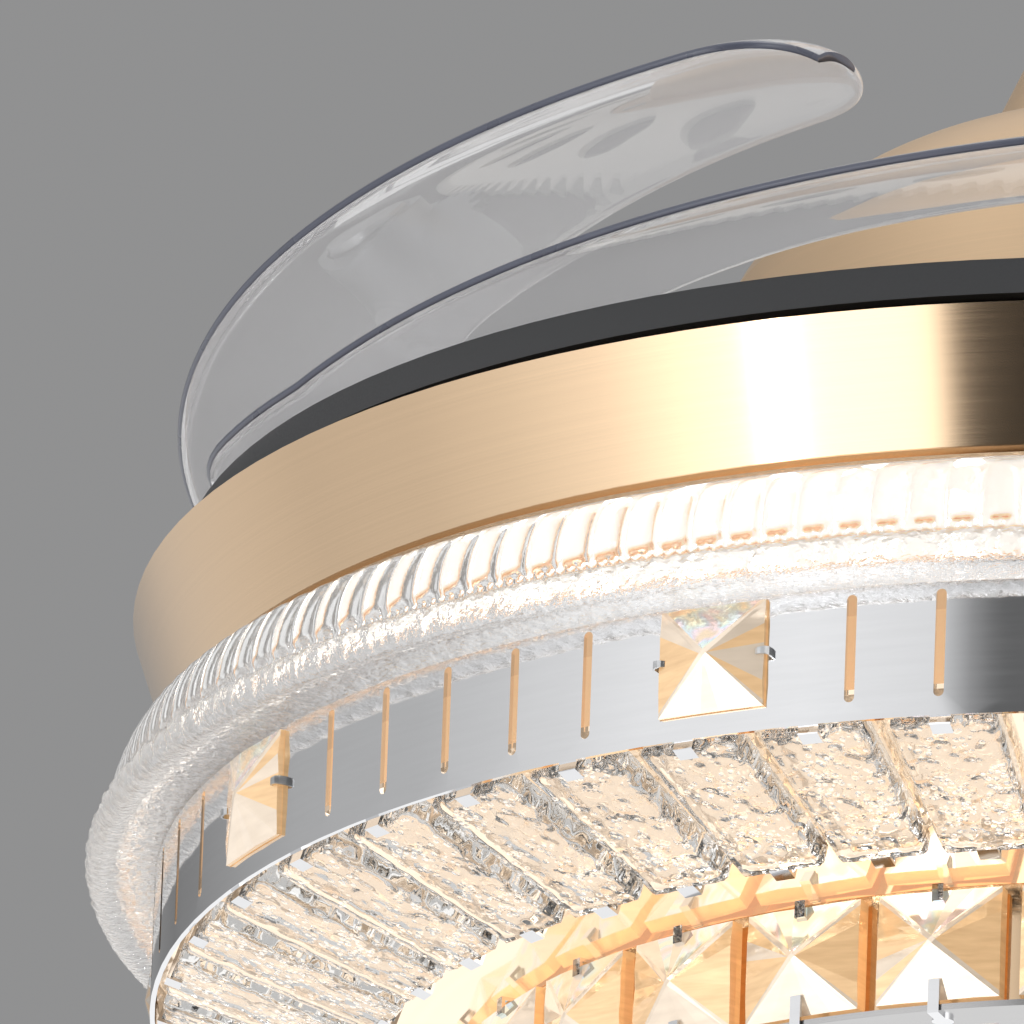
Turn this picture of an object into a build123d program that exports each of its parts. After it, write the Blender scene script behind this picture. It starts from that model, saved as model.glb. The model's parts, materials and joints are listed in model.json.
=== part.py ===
from build123d import *
import math
import os

# Retractable chandelier ceiling fan, millimetres, +Z up.
# The origin is the centre of the bracket's face on the ceiling, so everything hangs below z = 0.
# Heights named with _h are above the top rim of the gold band, which lies band_drop below the ceiling.

# Driving dimensions
band_drop = 310.0
band_top_r = 257.0
band_bottom_r = 246.4
band_height = 31.6
chrome_r = 249.4
chrome_top_h = -65.9
chrome_bottom_h = -98.6
sheet = 1.2
fit_gap = 0.05
running_gap = 0.3
clear_gap = 0.2

rotor_plate_r = 250.0
rotor_plate_top_r = 246.0
rotor_top_h = 14.5
rotor_rim_low_h = 4.5
rotor_sheet = 3.0

blade_count = 4
pivot_r = 190.0
blade_reach_deg = 149.7
blade_phase_deg = 5.3

square_count = 10
slots_per_group = 5
slot_pitch_deg = 5.0
square_phase_deg = 27.6
brick_count = 48
brick_phase_deg = 14.6
inner_count = 32
inner_phase_deg = 19.9

rod_r = 10.5
shaft_r = 8.5
screw_r = 2.0
screw_head_r = 3.6
screw_head = 1.8

CENTRED_UP = (Align.CENTER, Align.CENTER, Align.MIN)
TURN = 360.0
QUARTER = 90.0
HALF = 180.0
nodes = {}


def height(above_band):
    """Frame height of a level given above the gold band's top rim."""
    return above_band - band_drop


def heading(phase):
    """Turn about Z that brings a piece built on +X to a phase counted leftwards from -Y."""
    return -QUARTER - phase


def disc(radius, low, high):
    """Upright disc between two frame heights."""
    return Pos(0, 0, low) * Cylinder(radius, high - low, align=CENTRED_UP)


def ring(outer, inner, low, high):
    """Flat ring between two frame heights."""
    return disc(outer, low, high) - disc(inner, low, high)


def block(x_low, x_high, y_low, y_high, z_low, z_high):
    """Box between corners."""
    shape = Box(x_high - x_low, y_high - y_low, z_high - z_low)
    return Pos((x_low + x_high) / 2, (y_low + y_high) / 2, (z_low + z_high) / 2) * shape


def turned(points):
    """Solid of revolution about Z from (radius, height) points."""
    outline = Polyline(*[(radius, 0, level) for radius, level in points], close=True)
    return revolve(make_face(outline), Axis.Z)


def around(shape, count, phase=0.0):
    """Copies of a piece at equal turns about Z."""
    return [Rot(0, 0, phase + TURN * step / count) * shape for step in range(count)]


def cross_pin(radius, length, level):
    """Pin along X at a frame height."""
    return Pos(0, 0, level) * Rot(0, QUARTER, 0) * Cylinder(radius, length)


def gathered(shapes):
    """One node from separate solids."""
    solids = [solid for shape in shapes for solid in shape.solids()]
    return Compound(children=solids)


def gear_face(pitch_r, teeth, tooth_phase):
    """Outline of an external gear with straight-flanked teeth and backlash."""
    pitch = TURN / teeth
    points = []
    for tooth in range(teeth):
        middle = tooth_phase + tooth * pitch
        for share, radius in zip(tooth_angle_shares, (-gear_depth, gear_reach, gear_reach, -gear_depth)):
            angle = math.radians(middle + share * pitch)
            points.append(((pitch_r + radius) * math.cos(angle), (pitch_r + radius) * math.sin(angle)))
    return make_face(Polyline(*points, close=True))


# Ceiling bracket: a plate on the ceiling, a bridge that seats the hanger ball, and two ears
plate_thickness = 3.0
plate_half_length = 58.0
plate_half_width = 36.0
plate_arm_half_width = 17.0
mount_hole_r = 3.0
mount_spacing = 84.0
ball_r = 20.0
ball_centre = -25.0
ball_top = -12.0
seat_top = -38.0
bridge_half_length = 27.0
bridge_half_width = 17.0
ear_drop = 20.0
ear_half_width = 8.0
ear_screw_level = -12.0

seat_low = seat_top - plate_thickness
seat_hole_r = math.sqrt(ball_r ** 2 - (ball_centre - seat_top) ** 2) + 2 * running_gap
ceiling_bracket = block(-plate_half_length, plate_half_length, -plate_arm_half_width, plate_arm_half_width,
                        -plate_thickness, 0)
ceiling_bracket += block(-bridge_half_length, bridge_half_length, -plate_half_width, plate_half_width,
                         -plate_thickness, 0)
for side in (-1, 1):
    leg_x = side * (bridge_half_length - plate_thickness / 2)
    ceiling_bracket += block(leg_x - plate_thickness / 2, leg_x + plate_thickness / 2,
                             -bridge_half_width, bridge_half_width, seat_low, -plate_thickness)
    ear_x = side * (plate_half_length - plate_thickness / 2)
    ceiling_bracket += block(ear_x - plate_thickness / 2, ear_x + plate_thickness / 2,
                             -ear_half_width, ear_half_width, -ear_drop, -plate_thickness)
    hole = Pos(side * mount_spacing / 2, 0, 0) * disc(mount_hole_r, -2 * plate_thickness, plate_thickness)
    ceiling_bracket -= hole
ceiling_bracket += block(-bridge_half_length, bridge_half_length, -bridge_half_width, bridge_half_width,
                         seat_low, seat_top)
ceiling_bracket -= disc(seat_hole_r, seat_low - plate_thickness, seat_top + plate_thickness)
ceiling_bracket -= cross_pin(screw_r + fit_gap, 4 * plate_half_length, ear_screw_level)
nodes["ceiling_bracket"] = ceiling_bracket

# Canopy: the gold cup that hides the bracket
canopy_r = 63.0
canopy_drop = 60.0
canopy_shoulder_r = 46.0
canopy_shoulder = 22.0
canopy_hole_r = 17.0
canopy_wall = 1.5


def canopy_profile(inset):
    """Outer outline of the canopy moved inwards by a wall."""
    side_r = canopy_r - inset
    floor_level = -canopy_drop + inset
    shoulder_level = -canopy_drop + canopy_shoulder
    middle_r = canopy_shoulder_r + (side_r - canopy_shoulder_r) * math.sin(math.radians(QUARTER / 2))
    middle = shoulder_level + (floor_level - shoulder_level) * math.cos(math.radians(QUARTER / 2))
    return side_r, floor_level, shoulder_level, middle_r, middle


def canopy_solid(inset, top):
    """Filled cup with a rounded shoulder."""
    side_r, floor_level, shoulder_level, middle_r, middle = canopy_profile(inset)
    edges = [
        Line((0, 0, floor_level), (canopy_shoulder_r, 0, floor_level)),
        ThreePointArc((canopy_shoulder_r, 0, floor_level), (middle_r, 0, middle), (side_r, 0, shoulder_level)),
        Line((side_r, 0, shoulder_level), (side_r, 0, top)),
        Line((side_r, 0, top), (0, 0, top)),
        Line((0, 0, top), (0, 0, floor_level)),
    ]
    return revolve(make_face(edges), Axis.Z)


canopy_rim = -canopy_wall
canopy = canopy_solid(0, canopy_rim) - canopy_solid(canopy_wall, canopy_rim)
canopy -= disc(canopy_hole_r, -2 * canopy_drop, -canopy_drop + 2 * canopy_wall)
canopy -= cross_pin(screw_r + fit_gap, 4 * canopy_r, ear_screw_level)
nodes["canopy"] = canopy

canopy_screws = []
screw_tip = plate_half_length - 2 * plate_thickness
for side in (0, HALF):
    shank = Rot(0, QUARTER, 0) * disc(screw_r, screw_tip, canopy_r)
    head = Rot(0, QUARTER, 0) * disc(screw_head_r, canopy_r, canopy_r + screw_head)
    canopy_screws.append(Rot(0, 0, side) * Pos(0, 0, ear_screw_level) * (shank + head))
nodes["canopy_screws"] = gathered(canopy_screws)

box_gap = 2.5
box_start = ball_r + box_gap
receiver_half_length = 24.0
receiver_drop = 29.0
terminal_half_length = 20.0
terminal_drop = 17.0
nodes["remote_receiver"] = block(-receiver_half_length, receiver_half_length, -plate_half_width, -box_start,
                                 -receiver_drop, -plate_thickness)
nodes["terminal_block"] = block(-terminal_half_length, terminal_half_length, box_start, plate_half_width,
                                -terminal_drop, -plate_thickness)

# Down-rod with its hanger ball, yoke and cross pins
rod_wall = 1.6
rod_top = -8.0
yoke_r = 15.0
yoke_low_h = 122.0
yoke_split_h = 150.0
yoke_top_h = 178.0
pin_r = 3.0
ball_pin_length = 32.0
ball_pin_level = -20.0
yoke_pin_h = 165.0
rod_foot_gap = 0.2

yoke_low = height(yoke_low_h)
yoke_split = height(yoke_split_h)
yoke_top = height(yoke_top_h)
yoke_pin_level = height(yoke_pin_h)
hanger_ball = Pos(0, 0, ball_centre) * Sphere(ball_r)
hanger_ball &= disc(2 * ball_r, ball_centre - 2 * ball_r, ball_top)
hanger_ball -= disc(rod_r + fit_gap, ball_centre - 2 * ball_r, 0)
hanger_ball -= cross_pin(pin_r + fit_gap, 4 * ball_r, ball_pin_level)
nodes["hanger_ball"] = hanger_ball
down_rod = ring(rod_r, rod_r - rod_wall, yoke_split + rod_foot_gap, rod_top)
down_rod -= cross_pin(pin_r + fit_gap, 4 * rod_r, ball_pin_level)
down_rod -= cross_pin(pin_r + fit_gap, 4 * rod_r, yoke_pin_level)
nodes["down_rod"] = down_rod
nodes["ball_pin"] = cross_pin(pin_r, ball_pin_length, ball_pin_level)
rod_yoke = disc(yoke_r, yoke_low, yoke_top)
rod_yoke -= disc(rod_r + fit_gap, yoke_split, yoke_top)
rod_yoke -= disc(shaft_r + fit_gap, yoke_low, yoke_split)
rod_yoke -= cross_pin(pin_r + fit_gap, 4 * yoke_r, yoke_pin_level)
nodes["rod_yoke"] = rod_yoke
nodes["yoke_pin"] = cross_pin(pin_r, 2 * yoke_r + 4 * fit_gap, yoke_pin_level)

# Neck cover: a gold cone over the yoke
neck_low_r = 61.0
neck_low_h = 119.0
neck_top_r = 26.0
neck_top_h = 198.0
neck_wall = 1.5
nodes["neck_cover"] = turned([
    (neck_low_r, height(neck_low_h)),
    (neck_top_r, height(neck_top_h)),
    (rod_r + fit_gap, height(neck_top_h)),
    (rod_r + fit_gap, height(neck_top_h) - 2 * neck_wall),
    (neck_top_r - neck_wall, height(neck_top_h) - 2 * neck_wall),
    (neck_low_r - neck_wall, height(neck_low_h)),
])

# Motor shaft: hollow, fixed, with a collar that the lamp plate is drawn against
shaft_bore_r = 5.0
shaft_low_h = -18.0
collar_r = 13.0
lamp_plate_top_h = -1.5
collar_top_h = 3.0
shaft = ring(shaft_r, shaft_bore_r, height(shaft_low_h), yoke_split)
shaft += ring(collar_r, shaft_bore_r, height(lamp_plate_top_h), height(collar_top_h))
nodes["motor_shaft"] = shaft

# Motor: stator on the shaft, rotor housing round it, two ball bearings
bearing_width = 10.0
bearing_outer_r = 17.5
race_inner_r = 11.2
race_outer_r = 14.8
ball_ring_r = 13.0
bearing_ball_r = 1.5
bearing_balls = 9
housing_floor_h = rotor_top_h
housing_wall = 3.0
housing_r = 98.0
housing_top_h = 63.0
boss_r = 22.0
bearing_lip = 2.0
bearing_inset = 0.5
stator_low_h = 30.0
stator_high_h = 49.0
stator_teeth = 12
stator_r = 84.0
stator_hub_r = 40.0
tooth_width = 12.0
tooth_tip_width = 34.0
tooth_tip_depth = 6.0
air_gap = 1.0
magnet_count = 14
coil_depth = 7.0

lower_bearing_h = housing_floor_h + bearing_inset
upper_bearing_h = housing_top_h - bearing_width - bearing_inset
inner_races = []
outer_races = []
balls = []
for level_h in (lower_bearing_h, upper_bearing_h):
    low = height(level_h)
    inner_races.append(ring(race_inner_r, shaft_r + fit_gap, low, low + bearing_width))
    outer_races.append(ring(bearing_outer_r, race_outer_r, low, low + bearing_width))
    ball = Pos(ball_ring_r, 0, low + bearing_width / 2) * Sphere(bearing_ball_r)
    balls += around(ball, bearing_balls)
nodes["bearing_inner_races"] = gathered(inner_races)
nodes["bearing_outer_races"] = gathered(outer_races)
nodes["bearing_balls"] = gathered(balls)

stator_low = height(stator_low_h)
stator_high = height(stator_high_h)
stator_core = ring(stator_hub_r, shaft_r + fit_gap, stator_low, stator_high)
tooth = block(stator_hub_r - air_gap, stator_r, -tooth_width / 2, tooth_width / 2, stator_low, stator_high)
tip = block(stator_r - tooth_tip_depth, stator_r + air_gap, -tooth_tip_width / 2, tooth_tip_width / 2,
            stator_low, stator_high)
for piece in around(tooth + tip, stator_teeth):
    stator_core += piece
stator_core &= disc(stator_r, stator_low, stator_high)
nodes["stator_core"] = stator_core
coil_gap = 0.5
coil_start = stator_hub_r + 5 * coil_gap
coil_end = stator_r - tooth_tip_depth - coil_gap
coil_half = tooth_width / 2 + clear_gap
coil_top = 4.0
coil = block(coil_start, coil_end, -coil_half - coil_depth / 2, coil_half + coil_depth / 2,
             stator_low - coil_top, stator_high + coil_top)
coil -= block(coil_start - coil_depth, coil_end + coil_depth, -coil_half, coil_half,
              stator_low - clear_gap, stator_high + clear_gap)
nodes["stator_windings"] = gathered(around(coil, stator_teeth))

housing_floor = height(housing_floor_h)
housing_top = height(housing_top_h)
housing = turned([
    (bearing_outer_r - bearing_lip, housing_floor),
    (housing_r, housing_floor),
    (housing_r, housing_top - housing_wall),
    (housing_r - housing_wall, housing_top - housing_wall),
    (housing_r - housing_wall, housing_floor + housing_wall),
    (boss_r, housing_floor + housing_wall),
    (boss_r, height(lower_bearing_h) + bearing_width),
    (bearing_outer_r + fit_gap, height(lower_bearing_h) + bearing_width),
    (bearing_outer_r + fit_gap, height(lower_bearing_h)),
    (bearing_outer_r - bearing_lip, height(lower_bearing_h)),
])
nodes["rotor_housing"] = housing
nodes["rotor_lid"] = turned([
    (bearing_outer_r - bearing_lip, housing_top),
    (housing_r, housing_top),
    (housing_r, housing_top - housing_wall),
    (boss_r, housing_top - housing_wall),
    (boss_r, height(upper_bearing_h)),
    (bearing_outer_r + fit_gap, height(upper_bearing_h)),
    (bearing_outer_r + fit_gap, height(upper_bearing_h) + bearing_width),
    (bearing_outer_r - bearing_lip, height(upper_bearing_h) + bearing_width),
])
magnet_outer = housing_r - housing_wall - fit_gap
magnet_ring = ring(magnet_outer, stator_r + air_gap, stator_low, stator_high)
magnet_gap = 3.0
for cut in around(block(0, 2 * housing_r, -magnet_gap / 2, magnet_gap / 2, stator_low, stator_high),
                  magnet_count):
    magnet_ring -= cut
nodes["rotor_magnets"] = magnet_ring

# Black rotor plate that carries the blade pivots
plate_top = height(rotor_top_h)
plate_under = plate_top - rotor_sheet
rotor_hole_gap = 2.0
rotor_hole_r = collar_r + rotor_hole_gap
pin_hole_r = 6.0
rim_wall = 4.0
rotor_plate = turned([
    (rotor_hole_r, plate_top),
    (rotor_plate_top_r, plate_top),
    (rotor_plate_r, height(rotor_rim_low_h)),
    (rotor_plate_r - rim_wall, height(rotor_rim_low_h)),
    (rotor_plate_top_r - rim_wall, plate_under),
    (rotor_hole_r, plate_under),
])
pin_hole = disc(pin_hole_r + fit_gap, plate_under, plate_top)
for hole in around(Pos(pivot_r, 0, 0) * pin_hole, blade_count, blade_phase_deg):
    rotor_plate -= hole

# Gold motor cover: flange, upright wall and dome
cover_r = 118.0
cover_wall = 1.5
flange_r = 127.7
flange_thickness = 2.5
cover_wall_top_h = 82.0
cover_knee_r = 108.0
cover_knee_h = 97.0
cover_top_r = 54.0
cover_top_h = 117.0
cover_outline = [
    Line((cover_r - cover_wall, 0, plate_top), (flange_r, 0, plate_top)),
    Line((flange_r, 0, plate_top), (flange_r, 0, plate_top + flange_thickness)),
    Line((flange_r, 0, plate_top + flange_thickness), (cover_r, 0, plate_top + flange_thickness)),
    Line((cover_r, 0, plate_top + flange_thickness), (cover_r, 0, height(cover_wall_top_h))),
    ThreePointArc((cover_r, 0, height(cover_wall_top_h)), (cover_knee_r, 0, height(cover_knee_h)),
                  (cover_top_r, 0, height(cover_top_h))),
    Line((cover_top_r, 0, height(cover_top_h)), (cover_top_r, 0, height(cover_top_h) - cover_wall)),
    ThreePointArc((cover_top_r, 0, height(cover_top_h) - cover_wall),
                  (cover_knee_r - cover_wall, 0, height(cover_knee_h) - cover_wall),
                  (cover_r - cover_wall, 0, height(cover_wall_top_h))),
    Line((cover_r - cover_wall, 0, height(cover_wall_top_h)), (cover_r - cover_wall, 0, plate_top)),
]
motor_cover = revolve(make_face(cover_outline), Axis.Z)
cover_screw_r = (cover_r + flange_r) / 2
cover_screw_count = 6
cover_screw_head_r = 2.8
cover_screw_shank_r = 1.6
cover_hole = disc(cover_screw_shank_r + fit_gap, plate_under, plate_top + 2 * flange_thickness)
for hole in around(Pos(cover_screw_r, 0, 0) * cover_hole, cover_screw_count):
    motor_cover -= hole
    rotor_plate -= hole
nodes["rotor_plate"] = rotor_plate
nodes["motor_cover"] = motor_cover
flange_top = plate_top + flange_thickness
cover_screw = disc(cover_screw_shank_r, plate_under, flange_top)
cover_screw += disc(cover_screw_head_r, flange_top, flange_top + screw_head)
nodes["cover_screws"] = gathered(around(Pos(cover_screw_r, 0, 0) * cover_screw, cover_screw_count))

# Synchronising gear ring round the cover's flange, and the gear on each blade arm
gear_reach = 1.5
gear_depth = 2.1
tooth_angle_shares = (-0.34, -0.12, 0.12, 0.34)
pinion_pitch_r = 22.0
gear_module = 2.0
pinion_teeth = round(2 * pinion_pitch_r / gear_module)
sync_pitch_r = pivot_r - pinion_pitch_r
sync_teeth = round(2 * sync_pitch_r / gear_module)
gear_lift = 0.5
gear_low = plate_top + gear_lift
gear_thickness = 4.0
sync_inner_r = flange_r + running_gap
sync_face = gear_face(sync_pitch_r, sync_teeth, blade_phase_deg)
sync_ring = Pos(0, 0, gear_low) * extrude(sync_face, gear_thickness)
sync_ring -= disc(sync_inner_r, gear_low, gear_low + gear_thickness)
lightening_count = 24
lightening_r = 11.0
lightening_ring_r = (sync_inner_r + sync_pitch_r) / 2
for hole in around(Pos(lightening_ring_r, 0, 0) * disc(lightening_r, gear_low, gear_low + gear_thickness),
                   lightening_count, TURN / lightening_count / 2):
    sync_ring -= hole
nodes["sync_ring"] = sync_ring

# Pivot pins, riveted into the rotor plate, with a head over each blade arm
pin_head_r = 9.5
pin_head = 2.5
hub_r = 13.0
hub_height = 20.0
hub_top = gear_low + hub_height
pin = disc(pin_hole_r, plate_under, hub_top + running_gap)
pin += disc(pin_head_r, hub_top + running_gap, hub_top + running_gap + pin_head)
nodes["pivot_pins"] = gathered(around(Pos(pivot_r, 0, 0) * pin, blade_count, blade_phase_deg))
spring_cup_r = 10.5
spring_floor = 12.0
spring_low = gear_low + spring_floor
spring = ring(spring_cup_r - 2 * running_gap, pin_hole_r + running_gap, spring_low + running_gap,
              hub_top - running_gap)
nodes["return_springs"] = gathered(around(Pos(pivot_r, 0, 0) * spring, blade_count, blade_phase_deg))

# Blade: a clear curved strip that follows the body's edge and climbs towards its blunt tip
blade_thickness = 2.4
blade_gap = 0.35
blade_root_deg = 5.2
blade_flat_deg = 23.0
blade_climb = 55.0
climb_bow_share = 0.015
blade_camber = 5.0
blade_inner_lift = 4.0
blade_outer_r = 247.2
blade_root_inner_r = 205.0
blade_tip_inner_r = 186.0
widen_start_deg = 42.0
widen_end_deg = 122.0
camber_run_deg = 38.0
root_share = 0.05
root_taper_share = 0.25
tip_share = 0.955
tip_end_share = 0.999
tip_power = 2.6
body_sections = 18
tip_sections = 6
least_bow = 0.02
blade_base = gear_low + gear_thickness + blade_gap


def eased(value):
    """Smooth step from zero to one."""
    value = min(max(value, 0.0), 1.0)
    return value * value * (3 - 2 * value)


def blade_station(share):
    """Angle, inner and outer radius, base height and camber share at a share of the blade's length."""
    angle = blade_root_deg + (blade_reach_deg - blade_root_deg) * share
    widened = eased((angle - widen_start_deg) / (widen_end_deg - widen_start_deg))
    inner = blade_root_inner_r + (blade_tip_inner_r - blade_root_inner_r) * widened
    middle = (inner + blade_outer_r) / 2
    half = (blade_outer_r - inner) / 2
    if share < root_share:
        half *= 1 - root_taper_share * (1 - share / root_share) ** 2
    if share > tip_share:
        run = (share - tip_share) / (1 - tip_share)
        half *= (1 - run ** tip_power) ** (1 / tip_power)
    climbed = max(angle - blade_flat_deg, 0.0) / (blade_reach_deg - blade_flat_deg)
    base = blade_base + blade_climb * (climbed + climb_bow_share * math.sin(math.tau * climbed))
    shaped = eased((angle - blade_flat_deg) / camber_run_deg)
    return angle, middle - half, middle + half, base, shaped


def blade_face(share):
    """Cambered cross-section in the radial plane of its station."""
    angle, inner, outer, base, shaped = blade_station(share)
    width_share = (outer - inner) / (blade_outer_r - blade_tip_inner_r)
    lift = blade_inner_lift * shaped
    bow = base + lift / 2 + max(blade_camber * shaped * width_share, least_bow)
    middle = (inner + outer) / 2
    plane = Plane(origin=(0, 0, 0), x_dir=(math.cos(math.radians(angle)), math.sin(math.radians(angle)), 0),
                  z_dir=(math.sin(math.radians(angle)), -math.cos(math.radians(angle)), 0))
    low_inner = (inner, base + lift)
    low_outer = (outer, base)
    high_inner = (inner, base + lift + blade_thickness)
    high_outer = (outer, base + blade_thickness)
    edges = [
        ThreePointArc(low_inner, (middle, bow), low_outer),
        Line(low_outer, high_outer),
        ThreePointArc(high_outer, (middle, bow + blade_thickness), high_inner),
        Line(high_inner, low_inner),
    ]
    return plane * make_face(edges)


shares = [tip_share * step / body_sections for step in range(body_sections + 1)]
shares += [tip_share + (tip_end_share - tip_share) * math.sin(math.radians(QUARTER * step / tip_sections))
           for step in range(1, tip_sections + 1)]
blade = loft([blade_face(share) for share in shares], ruled=True)

# Blade arm: gear, hub and the plate riveted over the blade's root
arm_thickness = 4.0
arm_low = blade_base + blade_thickness + fit_gap
arm_top = arm_low + arm_thickness
arm_back = 13.0
arm_reach = 38.0
arm_length = 60.0
rivet_offset = 22.0
rivet_places = (26.0, 38.0, 50.0)
arm = Pos(0, 0, gear_low) * extrude(gear_face(pinion_pitch_r, pinion_teeth, TURN / pinion_teeth / 2),
                                    gear_thickness)
arm += disc(hub_r, gear_low, hub_top)
arm += block(-arm_back, arm_reach, 0, arm_length, arm_low, arm_top)
arm -= disc(pin_hole_r + fit_gap, gear_low, hub_top)
arm -= disc(spring_cup_r, spring_low, hub_top)

low_head = blade_base - fit_gap
high_head = arm_top + fit_gap
rivet = disc(screw_r, low_head, high_head)
rivet += disc(screw_head_r, low_head - screw_head, low_head)
rivet += disc(screw_head_r, high_head, high_head + screw_head)
rivets = []
for along in rivet_places:
    hole = Pos(pivot_r + rivet_offset, along, 0) * disc(screw_r + fit_gap, low_head, high_head)
    blade -= hole
    arm -= Pos(-pivot_r, 0, 0) * hole
    rivets.append(Pos(pivot_r + rivet_offset, along, 0) * rivet)
arm = Pos(pivot_r, 0, 0) * arm
for number in range(blade_count):
    turn = Rot(0, 0, blade_phase_deg + TURN * number / blade_count)
    nodes[f"blade_{number + 1}"] = turn * blade
    nodes[f"blade_arm_{number + 1}"] = turn * arm
    nodes[f"blade_screws_{number + 1}"] = gathered([turn * rivet for rivet in rivets])

# Lamp: plate on the shaft, nut, core wall, gold band and trim
lamp_plate_r = 240.0
lamp_plate_thickness = 3.0
nut_r = 14.0
nut_height = 8.0
core_r = 234.0
core_flange_r = 216.0
band_skin = 1.5
lamp_screw_ring_r = 224.0
lamp_screw_count = 8
flange_inner_r = 236.5
trim_height = 3.2
trim_out = 1.4

lamp_plate_top = height(lamp_plate_top_h)
lamp_plate_low = lamp_plate_top - lamp_plate_thickness
lamp_plate = ring(lamp_plate_r, shaft_r + fit_gap, lamp_plate_low, lamp_plate_top)
lamp_hole = Pos(lamp_screw_ring_r, 0, 0) * disc(screw_r + fit_gap, lamp_plate_low - 2 * sheet, lamp_plate_top)
vent_r = 14.0
vent_ring_r = 120.0
vent_count = 10
for hole in around(lamp_hole, lamp_screw_count):
    lamp_plate -= hole
for hole in around(Pos(vent_ring_r, 0, 0) * disc(vent_r, lamp_plate_low, lamp_plate_top), vent_count):
    lamp_plate -= hole
nodes["lamp_plate"] = lamp_plate
nut = extrude(RegularPolygon(nut_r, 6), nut_height)
nodes["shaft_nut"] = Pos(0, 0, lamp_plate_low - nut_height) * nut - disc(shaft_r + fit_gap,
                                                                        lamp_plate_low - 2 * nut_height, 0)
lamp_screw = disc(screw_r, lamp_plate_low - 3 * sheet, lamp_plate_top)
lamp_screw += disc(screw_head_r, lamp_plate_top, lamp_plate_top + screw_head)
nodes["lamp_screws"] = gathered(around(Pos(lamp_screw_ring_r, 0, 0) * lamp_screw, lamp_screw_count))
band_top = height(0)
band_low = band_top - band_height
nodes["gold_band"] = turned([
    (flange_inner_r, band_top),
    (band_top_r, band_top),
    (band_bottom_r, band_low),
    (band_bottom_r - sheet, band_low),
    (band_top_r - 2 * sheet, band_top - band_skin),
    (flange_inner_r, band_top - band_skin),
])
trim_low = band_low - trim_height
nodes["band_trim"] = turned([
    (core_r, band_low),
    (band_bottom_r, band_low),
    (band_bottom_r + trim_out, band_low - trim_height / 4),
    (band_bottom_r, band_low - trim_height / 2),
    (band_bottom_r + trim_out, band_low - trim_height * 3 / 4),
    (band_bottom_r, trim_low),
    (core_r, trim_low),
])

# Clear acrylic ring: ribbed upper bulge, groove, pebbled lower bulge
acrylic_top_r = 247.5
acrylic_inner_r = 244.0
rib_top_r = 258.0
rib_top_h = -41.0
rib_low_r = 261.5
rib_low_h = -54.5
groove_r = 262.5
groove_h = -57.0
bulge_r = 266.4
bulge_h = -61.0
groove_depth = 2.0
roll_in = 5.0
dome_in = 3.5
dome_up = 3.0
rib_in = 0.8
rib_down = 6.0
acrylic_low = height(chrome_top_h)
acrylic_edges = [
    Line((acrylic_inner_r, 0, trim_low), (acrylic_top_r, 0, trim_low)),
    ThreePointArc((acrylic_top_r, 0, trim_low), (rib_top_r - dome_in, 0, height(rib_top_h) + dome_up),
                  (rib_top_r, 0, height(rib_top_h))),
    ThreePointArc((rib_top_r, 0, height(rib_top_h)), (rib_low_r - rib_in, 0, height(rib_top_h) - rib_down),
                  (rib_low_r, 0, height(rib_low_h))),
    Line((rib_low_r, 0, height(rib_low_h)), (groove_r - groove_depth, 0, height(groove_h))),
    ThreePointArc((groove_r - groove_depth, 0, height(groove_h)), (bulge_r, 0, height(bulge_h)),
                  (bulge_r - roll_in, 0, acrylic_low)),
    Line((bulge_r - roll_in, 0, acrylic_low), (acrylic_inner_r, 0, acrylic_low)),
    Line((acrylic_inner_r, 0, acrylic_low), (acrylic_inner_r, 0, trim_low)),
]
nodes["acrylic_ring"] = revolve(make_face(acrylic_edges), Axis.Z)
strip_margin = 4.0
strip_thickness = 1.2
nodes["side_led_strip"] = ring(core_r + fit_gap + strip_thickness, core_r + fit_gap,
                               acrylic_low + strip_margin, trim_low - strip_margin)

# Chrome band: five upright slots between square windows
slot_width = 2.5
slot_top_h = -67.6
slot_low_h = -94.0
square_width = 27.4
square_height = 26.0
square_mid_h = -79.9
crystal_gap = 0.2
group_step = TURN / square_count
chrome_top = height(chrome_top_h)
chrome_low = height(chrome_bottom_h)
chrome_band = turned([
    (core_r + fit_gap, chrome_top),
    (chrome_r, chrome_top),
    (chrome_r, chrome_low),
    (chrome_r - sheet, chrome_low),
    (chrome_r - sheet, chrome_top - sheet),
    (core_r + fit_gap, chrome_top - sheet),
])
slot_middle = height((slot_top_h + slot_low_h) / 2)
slot_length = slot_top_h - slot_low_h
slot_cut = extrude(SlotOverall(slot_length, slot_width), 8 * sheet)
slot_cut = Pos(chrome_r - 4 * sheet, 0, slot_middle) * Rot(0, QUARTER, 0) * slot_cut
window_cut = block(chrome_r - 5 * sheet, chrome_r + 4 * sheet, -square_width / 2 - crystal_gap,
                   square_width / 2 + crystal_gap, height(square_mid_h) - square_height / 2 - crystal_gap,
                   height(square_mid_h) + square_height / 2 + crystal_gap)
chrome_cuts = []
for group in range(square_count):
    square_heading = heading(square_phase_deg) + group * group_step
    chrome_cuts.append(Rot(0, 0, square_heading) * window_cut)
    for slot in range(slots_per_group):
        slot_turn = group_step / 2 + (slot - (slots_per_group - 1) / 2) * slot_pitch_deg
        chrome_cuts.append(Rot(0, 0, square_heading + slot_turn) * slot_cut)
chrome_band -= chrome_cuts
nodes["chrome_band"] = chrome_band


def cut_crystal(width, tall, base, point, facet):
    """Square crystal on the YZ plane with a four-sided pyramid towards +X."""
    flat = extrude(Rectangle(tall, width), base)
    slopes = loft([Pos(0, 0, base) * Rectangle(tall, width), Pos(0, 0, base + point) * Rectangle(facet, facet)],
                  ruled=True)
    return Rot(0, QUARTER, 0) * (flat + slopes)


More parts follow.
